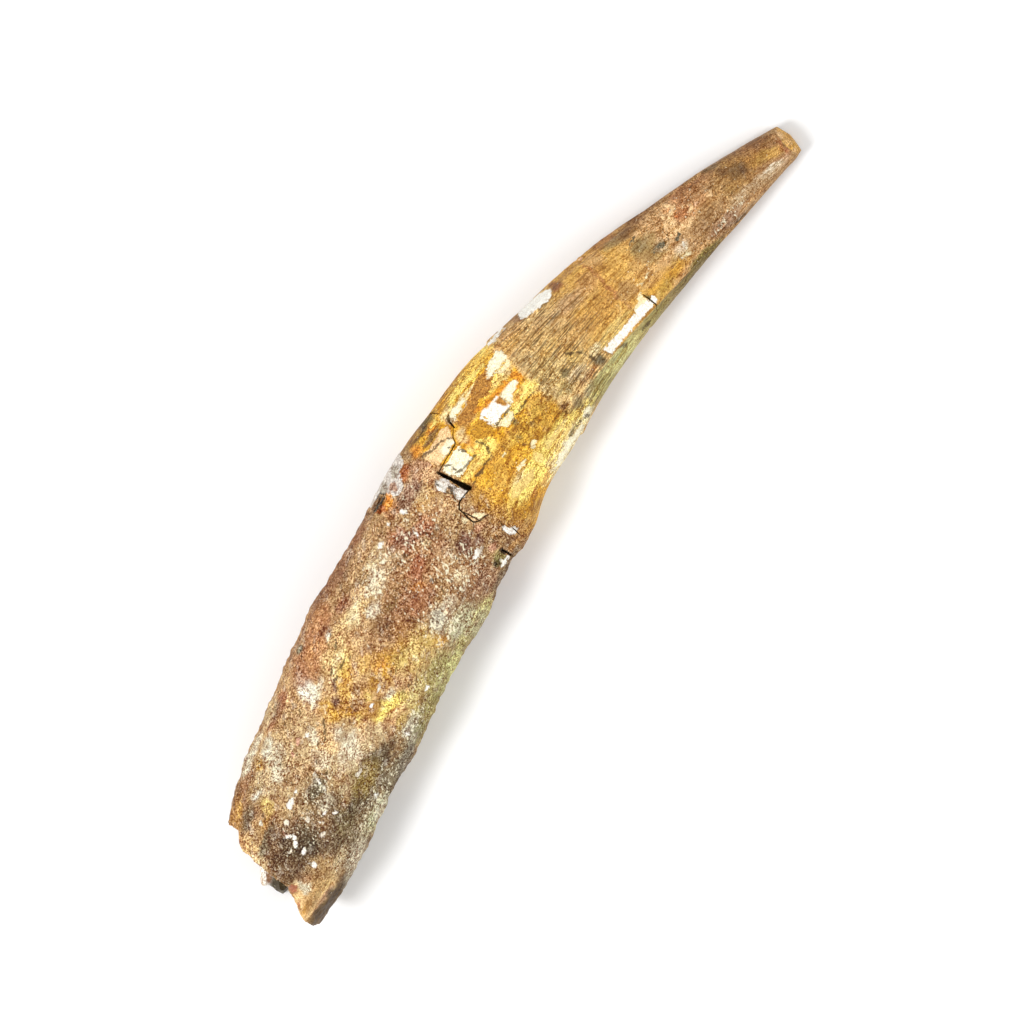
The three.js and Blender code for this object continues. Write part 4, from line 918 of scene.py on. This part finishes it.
def add_cutter(name, depth, path):
    """A sheet rolled into a closed wedge that follows the path, wide at the skin and narrow at its floor."""
    stations = finer_path(path, CUT_STEP)
    rows = len(stations) - 1
    cutter, sheet = flat_sheet(rows, 4)
    cutter.name = name
    row = np.rint(sheet[:, 0] * rows).astype(int)
    corner = np.rint(sheet[:, 1] * 4).astype(int) % 4
    forward = np.gradient(stations[:, :2], axis=0)
    sideways = unit(np.stack([-forward[:, 1], forward[:, 0]], axis=1))[row]
    ragged = uneven(np.column_stack([stations[row, :2], corner]), CUT_RAGGED_SIZE, seed=5)
    half_width = stations[row, 2] / 2 * (1 + CUT_RAGGED * ragged)
    at_floor = corner >= 2
    side = np.where((corner == 1) | (corner == 2), 1, -1) * np.where(at_floor, CUT_FLOOR_WIDTH, 1)
    place = stations[row, :2] + sideways * (half_width * side)[:, None]
    plain, normal, _ = skin(place[:, 0], turn_at(place[:, 0], place[:, 1]), 1)
    ends = np.where((row == 0) | (row == rows), CUT_END_DEPTH, 1)
    height = np.where(at_floor, -depth * ends, CUT_STANDS_PROUD)
    move_vertices(cutter, (plain + normal * height[:, None]) * MM)
    lay_on_sheet(cutter)
    close_up(fill_ends=True)
    return cutter


def cut_losses(tooth):
    for name, (depth, path) in LOSSES.items():
        cutter = add_cutter(name, depth, path)
        bpy.ops.object.select_all(action="DESELECT")
        bpy.context.view_layer.objects.active = tooth
        cut = tooth.modifiers.new(name, "BOOLEAN")
        cut.object = cutter
        cut.operation = "DIFFERENCE"
        cut.solver = "MANIFOLD"
        bpy.ops.object.modifier_apply(modifier=name)
        bpy.data.objects.remove(cutter)


# --- Painting the stains -----------------------------------------------------------------------------

# The broken end and the worn tip, which show their inside: how far along each reaches or starts, and at what
# share of the section its inside begins. The far wall is the root's underside, seen through the broken end.
BROKEN_END = 12
FAR_WALL = 8
WALL_SHARE = 0.93
WORN_TIP = 150
WORN_SHARES = (0.98, 0.92)
# The turns between which the underside starts and the upper face ends.
UNDER_STARTS = (75, 130)
UPPER_ENDS = (88, 100)
# How marks stray from their ovals: the size in mm of broad and fine waves, and how far each goes.
BROAD_WAVES, FINE_WAVES = 5, 1.1
BROAD_STRAY, BROAD_STRAY_UNDER, FINE_STRAY, CRISP_STRAY = 0.6, 3, 0.8, 0.25
STRAYING_WIDTH = 1.8  # narrower marks stray less
UNDERSIDE_SHIFT = 9  # how far the underside's stains lie from the upper face's, along
STAIN_GAIN = 1.3
STAIN_SOFTNESS = 0.4
FAR_WALL_SOFTNESS = 0.2
TIP_WASH = 0.9
TIP_RIM_WASH = 0.5
TIP_RIM = 0.96  # as a share of the section
TIP_RIM_WIDTH = 0.05
TIP_RIM_STARTS = (151.5, 152.5)
HELD_OFF = 2  # how far in mm the crisp marks are kept away from the hidden side
CHIP_GROWTH = 0.35  # how far in mm a crisp mark's colour goes past its edge
SALT_SOFTNESS = 0.7
FLAKE_SOFTNESS = 0.3
FLAKES_EVERYWHERE = 0.15  # on the bare dentine, which starts and ends here
BARE_STARTS, BARE_ENDS = (75, 77), (94.5, 95.5)
# Dirt with painted shade: its strength, the depths in mm under the skin that it lies at, and where along it
# starts and ends.
DIRT_AND_SHADE = 0.9
DIRT_AND_SHADE_DEPTHS = (0.45, 1.5)
DIRT_AND_SHADE_STARTS, DIRT_AND_SHADE_ENDS = (12, 14), (148, 150)
CAVITY_SHARES = (WALL_INSIDE, 0.5)
CAVITY_ENDS = (14, 16)
# The crust starts on a slant behind the broken end, and its grit ends at the neck.
CRUST_STARTS = (-2, 9)
CRUST_SLANT = 0.5
GRIT_ENDS = (72, 78)
CRUSTLESS_CONTRAST = 0.35
# The enamel's fine lines: from which side of its edge, the least and the most, and where along they are most.
CROWN_STARTS = (-0.1, 0.1)
LINED = (0.15, 0.8)
MOST_LINED, LINED_REACH = 103, 9


def linear(colour):
    """The linear RGB of a named colour or of an sRGB hex one."""
    code = COLOURS.get(colour, colour)
    parts = np.array([int(code[at : at + 2], 16) for at in (1, 3, 5)]) / 255
    return np.where(parts <= 0.04045, parts / 12.92, ((parts + 0.055) / 1.055) ** 2.4)


def cover(stain, colour, weight):
    """Lays a colour over the stain, by each place's weight."""
    return lerp(stain, linear(colour), weight[:, None])


def stain_colours(along, turn, share, across, under, on_tip, stray):
    """The plain colour and all the soft stains over it."""
    ground = np.array([(at, *linear(colour)) for at, colour in GROUND])
    stain = straight_table(ground, along + stray[0])
    shifted = along + UNDERSIDE_SHIFT * under
    for *mark, colour, strength in STAINS:
        strays = min(1, mark[3] / STRAYING_WIDTH)
        strayed = shifted + strays * stray[0], across + strays * stray[1]
        weight = min(1, STAIN_GAIN * strength) * blot(*strayed, mark, STAIN_SOFTNESS)
        stain = cover(stain, colour, weight)
    stain *= straight_table(ROOT_WASH, along)

    past_carina = arc(turn, carina_turn(along), BEYOND_RADIUS)
    beyond = smoothstep(*BEYOND_STARTS, along) * fade(BEYOND_ENDS, along)
    beyond *= smoothstep(*BEYOND_NEAR_SIDE, past_carina) * smoothstep(*BEYOND_FAR_SIDE, past_carina)
    for at, colour in BEYOND_CARINA:
        stain = cover(stain, colour, beyond * hump(along - at, BEYOND_REACH))

    stain = cover(stain, "honey", TIP_WASH * on_tip)
    rim = hump(share - TIP_RIM, TIP_RIM_WIDTH) * smoothstep(*TIP_RIM_STARTS, along)
    stain = cover(stain, "cocoa", TIP_RIM_WASH * rim)
    for *mark, colour, strength in TIP_MARKS:
        stain = cover(stain, colour, strength * blot(along, across, mark, STAIN_SOFTNESS) * on_tip)
    return stain


def crisp_marks(along, across, held_off, stain):
    """The colours of chips and grains, carried a little over their edges, and the mm to the nearest edge."""
    chip = stain.copy()
    chip_edge = np.ones(len(along))
    edges = [(colour, outline_edge(along, across, outline)) for colour, _, outline in CHIPS]
    edges += [(colour, oval_edge(along, across, mark)) for *mark, colour in GRAINS]
    for colour, edge in edges:
        chip[edge + held_off < CHIP_GROWTH] = linear(colour)
        chip_edge = np.minimum(chip_edge, edge + held_off)
    return chip, chip_edge


def most_of(marks, along, across, softness, least=0):
    """The largest amount that any mark gives each place."""
    for *mark, amount in marks:
        least = np.maximum(least, amount * blot(along, across, mark, softness))
    return least


def paint(tooth):
    """Gives each vertex its stain, the colour and edge of its chip, how gritty it is, and its dirt and
    painted shade.
    """
    places = mesh_places(tooth) / MM
    along, turn, share, across = unroll(places)
    on_tip = smoothstep(*WORN_SHARES, share) * (along > WORN_TIP)
    seen_end = np.maximum((share < WALL_SHARE) & (along < BROKEN_END), on_tip)
    under = smoothstep(*UNDER_STARTS, np.abs(turn)) * (1 - seen_end)
    held_off = HELD_OFF * (1 - np.maximum(fade(UPPER_ENDS, np.abs(turn)), seen_end))
    broad = np.stack([uneven(places, BROAD_WAVES, seed=seed) for seed in (6, 7)])
    fine = np.stack([uneven(places, FINE_WAVES, 3, seed=seed) for seed in (8, 9)])
    stray = lerp(BROAD_STRAY, BROAD_STRAY_UNDER, under) * broad + FINE_STRAY * fine
    soft_place = (along + stray[0] + UNDERSIDE_SHIFT * under, across + stray[1])
    crisp_place = (along + CRISP_STRAY * fine[0], across + CRISP_STRAY * fine[1])

    stain = stain_colours(along, turn, share, across, under, on_tip, stray)
    chip, chip_edge = crisp_marks(*crisp_place, held_off, stain)
    crack_edge = held_off + np.min([distance_to_path(*crisp_place, path) for path in FINE_CRACKS], axis=0)
    # The far wall's marks, its painted shade among them.
    far_wall = (np.abs(turn) > 90) * (along < FAR_WALL)
    for *mark, colour in FAR_WALL_MARKS:
        stain = cover(stain, colour, blot(along, across, mark, FAR_WALL_SOFTNESS) * far_wall)

    # Deep in the cuts and in the pulp cavity the colour darkens to soot: partly dirt, partly painted shade.
    depth = (1 - share) * smooth_table(SECTIONS, along).min(axis=1)
    in_cut = smoothstep(*DIRT_AND_SHADE_DEPTHS, depth) * smoothstep(*DIRT_AND_SHADE_STARTS, along) * fade(DIRT_AND_SHADE_ENDS, along)
    in_cavity = smoothstep(*CAVITY_SHARES, share) * fade(CAVITY_ENDS, along)
    bare = FLAKES_EVERYWHERE * smoothstep(*BARE_STARTS, along) * fade(BARE_ENDS, along)
    crown = smoothstep(*CROWN_STARTS, along - enamel_edge(turn))
    crusted = smoothstep(*CRUST_STARTS, along + CRUST_SLANT * across + stray[1])
    amounts = {
        "grit": fade(GRIT_ENDS, along + stray[0]) * crusted,
        "contrast": straight_table(CONTRAST, along)[:, 0] * lerp(CRUSTLESS_CONTRAST, 1, crusted),
        "dirt_and_shade": DIRT_AND_SHADE * np.maximum(in_cut, in_cavity),
        "lined": crown * lerp(*LINED, hump(along - MOST_LINED, LINED_REACH)),
        "salt": most_of(SALTED, *soft_place, SALT_SOFTNESS),
        "flaky": most_of(FLAKY, *soft_place, FLAKE_SOFTNESS, bare),
        "chip_edge": np.clip(chip_edge, -1, 1),
        "crack_edge": np.clip(crack_edge, 0, 1),
    }
    for name, amount in amounts.items():
        tooth.data.attributes.new(name, "FLOAT", "POINT").data.foreach_set("value", amount)
    for name, colours in {"stain": stain, "chip": chip}.items():
        opaque = np.column_stack([colours, np.ones(len(colours))])
        tooth.data.attributes.new(name, "FLOAT_COLOR", "POINT").data.foreach_set("color", opaque.ravel())


# --- The material ------------------------------------------------------------------------------------

# Grains of the crust: size in mm along the lean, across it and upwards, lean in degrees, detail, roughness.
CRUST_GRAINS = {
    "blotches": ((2.6, 2.6, 2.6), 0, 5, 0.62),
    "clusters": ((1.5, 1.0, 1.2), 36, 3, 0.6),
    "salt_grains": ((0.65, 0.42, 0.5), 60, 4, 0.65),
    # the pits are dark spots with no hollow under them: painted shade of small pits
    "pit_shade": ((0.9, 0.5, 0.7), 36, 2, 0.5),
    "sand": ((0.8, 0.65, 0.75), 0, 4, 0.75),
    "minerals": ((2.2, 1.4, 1.8), 36, 4, 0.6),
    "leaning": ((0.9, 0.36, 0.5), 36, 3, 0.65),
    "patches": ((5.0, 3.2, 4.0), 36, 2, 0.5),
}
# Patterns that run along the tooth: size in mm along and round it, its girth there, detail, roughness.
RUNNING_GRAINS = {"streaks": (4, 0.24, 60, 3, 0.6), "layers": (3.6, 0.9, 65, 5, 0.7)}
SKIN_LENGTH = 160
# The single grains of sand, each with a shade of its own: their size in mm, and how far the shades go each
# way where the surface is calm and where it is rough.
SAND_GRAIN = 0.19
SAND_SHADES = (0.2, 0.37)
# The tops of the grains are paler partly by their own tone and partly by a painted highlight.
LIT_TOP_CREAM_GAIN = 1.9  # how much paler the tops of the grains are
BUMP_HEIGHT = 0.35
SMOOTH_UP_TO = 50  # the angle in degrees up to which the skin's faces are shaded as one


def add_node(tree, kind, links=None, output=0, **settings):
    """Adds one node and returns one of its outputs. Its links are sockets or fixed values for its inputs."""
    node = tree.nodes.new("ShaderNode" + kind)
    for name, value in settings.items():
        setattr(node, name, value)
    for socket, value in (links or {}).items():
        if isinstance(value, bpy.types.NodeSocket):
            tree.links.new(value, node.inputs[socket])
        else:
            node.inputs[socket].default_value = value
    return node.outputs[output] if node.outputs else node


def lay_coats(add, colour, coats):
    """Lays coats over a colour. Each has the pattern it follows, the pattern's values where it starts and
    where it is full, its strength, the masks that thin it, its own colour and how it blends."""
    for pattern, start, full, strength, masks, coat, blend in coats:
        limits = {0: pattern, 1: start, 2: full, 3: 0.0, 4: strength}
        amount = add("MapRange", limits, interpolation_type="SMOOTHSTEP")
        for mask in masks:
            amount = add("Math", {0: amount, 1: mask}, operation="MULTIPLY")
        colour = add("Mix", {0: amount, 6: colour, 7: coat}, output=2, data_type="RGBA", blend_type=blend)
    return colour


def permineralised_tooth():
    """Fossil dentine and enamel under a sandy crust: dry, mottled, gritty on the root and streaked above."""
    material = bpy.data.materials.new("permineralised_dentine_and_enamel")
    material.use_nodes = True
    material.node_tree.nodes.clear()
    add = partial(add_node, material.node_tree)
    shade = {name: (*linear(name), 1) for name in COLOURS}
    worn = {
        name: add("Attribute", output="Fac", attribute_name=name)
        for name in ("grit", "contrast", "lined", "salt", "flaky", "dirt_and_shade", "chip_edge", "crack_edge")
    }
    stain, chip = (add("Attribute", output="Color", attribute_name=name) for name in ("stain", "chip"))
    place = add("TexCoord", output="Object")
    unrolled = add("UVMap", uv_map="OFBake")
    patterns = {}
    for name, (sizes, *rest) in CRUST_GRAINS.items():
        patterns[name] = (place, [size * MM for size in sizes], *rest)
    for name, (long, wide, girth, *rest) in RUNNING_GRAINS.items():
        patterns[name] = (unrolled, (long / SKIN_LENGTH, wide / girth, 1), 0, *rest)
    grains = {}
    for name, (start, sizes, lean, detail, roughness) in patterns.items():
        laid = {"Vector": start, "Rotation": (0, 0, np.radians(lean)), "Scale": sizes}
        laid = add("Mapping", laid, vector_type="TEXTURE")
        noise_settings = {"Vector": laid, "Scale": 1.0, "Detail": detail, "Roughness": roughness}
        grains[name] = add("TexNoise", noise_settings)

    # Patches of some millimetres are rougher than others.
    patchy = add("MapRange", {0: grains["patches"], 1: 0.35, 2: 0.65, 3: 0.6, 4: 1.4})
    rough_here = add("Math", {0: worn["contrast"], 1: patchy}, operation="MULTIPLY")

    # Light and dark grains, rounder on the crown and leaning on the root.
    leaning_share = add("Math", {0: worn["grit"], 1: 0.4}, operation="MULTIPLY")
    light = add("Mix", {0: leaning_share, 2: grains["sand"], 3: grains["leaning"]}, data_type="FLOAT")
    ragged = add("MapRange", {0: light, 1: 0.0, 2: 1.0, 3: -0.8, 4: 0.8})
    sandy_place = add("Mapping", {"Vector": place, "Scale": [SAND_GRAIN * MM] * 3}, vector_type="TEXTURE")
    sand_shade = add("TexVoronoi", {"Vector": sandy_place, "Scale": 1.0}, output="Color")
    sand_shade = add("SeparateColor", {0: sand_shade})
    sand_shade = add("MapRange", {0: sand_shade, 3: -1.0, 4: 1.0})
    calm, rough = SAND_SHADES
    shades = add("MapRange", {0: rough_here, 1: 0.3, 2: 1.3, 3: calm, 4: rough})
    sand_shade = add("Math", {0: sand_shade, 1: shades}, operation="MULTIPLY")
    unevenness = add("Math", {0: light, 1: 0.5}, operation="SUBTRACT")
    speckled = add("Math", {0: unevenness, 1: rough_here, 2: sand_shade}, operation="MULTIPLY_ADD")

    # The crisp marks lie over the stains, with ragged edges.
    chip_edge = add("Math", {0: worn["chip_edge"], 1: ragged}, operation="ADD")
    chipped = add("MapRange", {0: chip_edge, 1: 0.06, 2: -0.06}, interpolation_type="SMOOTHSTEP")
    plain = add("Math", {0: 1.0, 1: chipped}, operation="SUBTRACT")
    base = add("Mix", {0: chipped, 6: stain, 7: chip}, output=2, data_type="RGBA")

    # How much grain shows, less on the pale crisp marks, and the dark brown between the grains, partly
    # painted shade.
    brightness = add("RGBToBW", {0: chip})
    on_chip = add("MapRange", {0: brightness, 1: 0.35, 2: 0.7, 3: 0.9, 4: 0.4})
    grainy = add("Mix", {0: chipped, 2: 1.0, 3: on_chip}, data_type="FLOAT")
    contrast = add("Math", {0: grainy, 1: rough_here}, operation="MULTIPLY")
    browns = {0: worn["grit"], 6: shade["brass"], 7: shade["russet"]}
    shaded_brown = add("Mix", browns, output=2, data_type="RGBA")

    # Blotches of a few millimetres: the dark ones are a stain over the colour, and on the root the others
    # are rusty, chalky and yellow minerals. The bare dentine's layers, seen along their edges, are golden,
    # and pale where they flake. The spaces between the grains are dark brown, partly their own colour and
    # partly painted shade where the grain's relief sinks.
    gritty = add("MapRange", {0: worn["grit"], 3: 0.25, 4: 1.0})
    spotted = add("Math", {0: plain, 1: gritty}, operation="MULTIPLY")
    minerals = add("SeparateColor", {0: grains["minerals"].node.outputs["Color"]}).node.outputs
    layered = add("Math", {0: 1.0, 1: worn["grit"]}, operation="SUBTRACT")
    colour = lay_coats(add, base, [
        (grains["blotches"], 0.5, 0.36, 0.6, [spotted], shade["tan"], "MULTIPLY"),
        (minerals[0], 0.54, 0.64, 0.4, [spotted], shade["rust"], "MULTIPLY"),
        (minerals[1], 0.56, 0.66, 0.3, [spotted], shade["bone"], "MIX"),
        (minerals[2], 0.55, 0.65, 0.3, [spotted], shade["honey"], "MULTIPLY"),
        (grains["layers"], 0.5, 0.4, 0.7, [layered, plain], shade["khaki"], "MULTIPLY"),
        (grains["layers"], 0.46, 0.56, 0.9, [worn["flaky"], plain], shade["lemon"], "MIX"),
        (speckled, 0.03, -0.3, 0.95, [grainy], shaded_brown, "MULTIPLY"),
    ])

    # The tops of the grains are creamy, partly their own tone and partly a painted highlight where the
    # grain's relief rises, and chalkier on the root. Pale grains of sand crowd together in places, and dark
    # pits lie between them, their darkness painted shade. Over these come the fine dark lines that run along
    # the crown, the thin cracks, and dirt with painted shade at the bottom of what is open.
    creamy_lit_tops = add("VectorMath", {0: colour, "Scale": LIT_TOP_CREAM_GAIN}, operation="SCALE")
    chalkiness = add("MapRange", {0: worn["grit"], 3: 0.0, 4: 0.25})
    creamy_lit_tops = add("Mix", {0: chalkiness, 6: creamy_lit_tops, 7: shade["ivory"]}, output=2, data_type="RGBA")
    crowding = {0: grains["clusters"], 1: 0.42, 2: 0.6, 3: 0.1, 4: 0.23}
    crowded = add("MapRange", crowding, interpolation_type="SMOOTHSTEP")
    salted = add("Math", {0: worn["salt"], 1: crowded, 2: grains["salt_grains"]}, operation="MULTIPLY_ADD")
    crack_edge = add("Math", {0: worn["crack_edge"], 1: ragged}, operation="ADD")
    colour = lay_coats(add, colour, [
        (speckled, 0.05, 0.38, 1.0, [grainy], creamy_lit_tops, "MIX"),
        (salted, 0.66, 0.73, 0.85, [], shade["ivory"], "MIX"),
        (grains["pit_shade"], 0.37, 0.3, 0.6, [contrast], shade["umber"], "MIX"),
        (grains["streaks"], 0.49, 0.42, 1.0, [worn["lined"], plain], shade["umber"], "MIX"),
        (crack_edge, 0.26, 0.12, 0.8, [], shade["umber"], "MIX"),
    ])
    # Dirt and painted shade darken what lies deep in the cuts and the cavity.
    colour = add("Mix", {0: worn["dirt_and_shade"], 6: colour, 7: shade["soot_shade"]}, output=2, data_type="RGBA")

    gritty_height = add("Math", {0: light, 1: contrast}, operation="MULTIPLY")
    height = add("Math", {0: grains["streaks"], 1: worn["lined"], 2: gritty_height}, operation="MULTIPLY_ADD")
    bump = add("Bump", {"Height": height, "Strength": 0.9, "Distance": BUMP_HEIGHT * MM})
    roughness = add("MapRange", {0: gritty_height, 1: 0.1, 2: 0.7, 3: 0.5, 4: 0.9})
    surface = add(
        "BsdfPrincipled",
        {"Base Color": colour, "Roughness": roughness, "IOR": 1.5, "Specular IOR Level": 0.2, "Normal": bump},
    )
    add("OutputMaterial", {"Surface": surface})
    return material


def painted_paper():
    """Matt studio paper, plain and pale."""
    material = bpy.data.materials.new("studio_paper")
    material.use_nodes = True
    surface = material.node_tree.nodes["Principled BSDF"]
    surface.inputs["Base Color"].default_value = (*linear("#f3f3f3"), 1)
    surface.inputs["Roughness"].default_value = 0.9
    surface.inputs["Specular IOR Level"].default_value = 0.1
    return material


def build_tooth():
    tooth = rolled_skin()
    tooth.name = "fossil_tooth"
    cut_losses(tooth)
    bpy.ops.object.select_all(action="DESELECT")
    tooth.select_set(True)
    bpy.context.view_layer.objects.active = tooth
    bpy.ops.object.shade_smooth_by_angle(angle=np.radians(SMOOTH_UP_TO))
    paint(tooth)
    tooth.data.materials.clear()
    tooth.data.materials.append(permineralised_tooth())
    return tooth


# --- Camera, light and floor, in metres --------------------------------------------------------------

CAMERA_HEIGHT = 3
CAMERA_SENSOR = 36  # in mm
NEAREST_SEEN = 0.01
VIEW_WIDTH = 0.16827
VIEW_CENTRE = Vector((-0.00094, -0.00563, 0.0095))
VIEW_TURN = -58.65
FLOOR_SIZE = 3
# Each lamp's place, size and power in watts. They shine at the middle of the floor.
LAMPS = [((-0.45, 0.25, 0.7), 0.25, 5), ((0.35, -0.5, 0.5), 0.5, 1.7)]
WHITE_ALL_ROUND = 0.72


def add_camera():
    place = VIEW_CENTRE + Vector((0, 0, CAMERA_HEIGHT))
    bpy.ops.object.camera_add(location=place, rotation=(0, 0, np.radians(VIEW_TURN)))
    camera = bpy.context.object
    camera.data.sensor_width = CAMERA_SENSOR
    camera.data.lens = CAMERA_SENSOR * CAMERA_HEIGHT / VIEW_WIDTH
    camera.data.clip_start = NEAREST_SEEN
    bpy.context.scene.camera = camera


def add_studio():
    floor = primitive(bpy.ops.mesh.primitive_plane_add, size=FLOOR_SIZE)
    floor.name = "floor"
    floor.data.materials.append(painted_paper())
    for place, size, power in LAMPS:
        bpy.ops.object.light_add(type="AREA", location=place)
        lamp = bpy.context.object
        lamp.data.size = size
        lamp.data.energy = power
        lamp.rotation_euler = Vector(place).to_track_quat("Z", "Y").to_euler()
    world = bpy.data.worlds.new("studio")
    world.use_nodes = True
    background = world.node_tree.nodes["Background"]
    background.inputs["Color"].default_value = (*linear("#ffffff"), 1)
    background.inputs["Strength"].default_value = WHITE_ALL_ROUND
    bpy.context.scene.world = world
    bpy.context.scene.view_settings.view_transform = "Standard"


tooth = build_tooth()
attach(tooth, "root")
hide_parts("tooth")
add_camera()
add_studio()
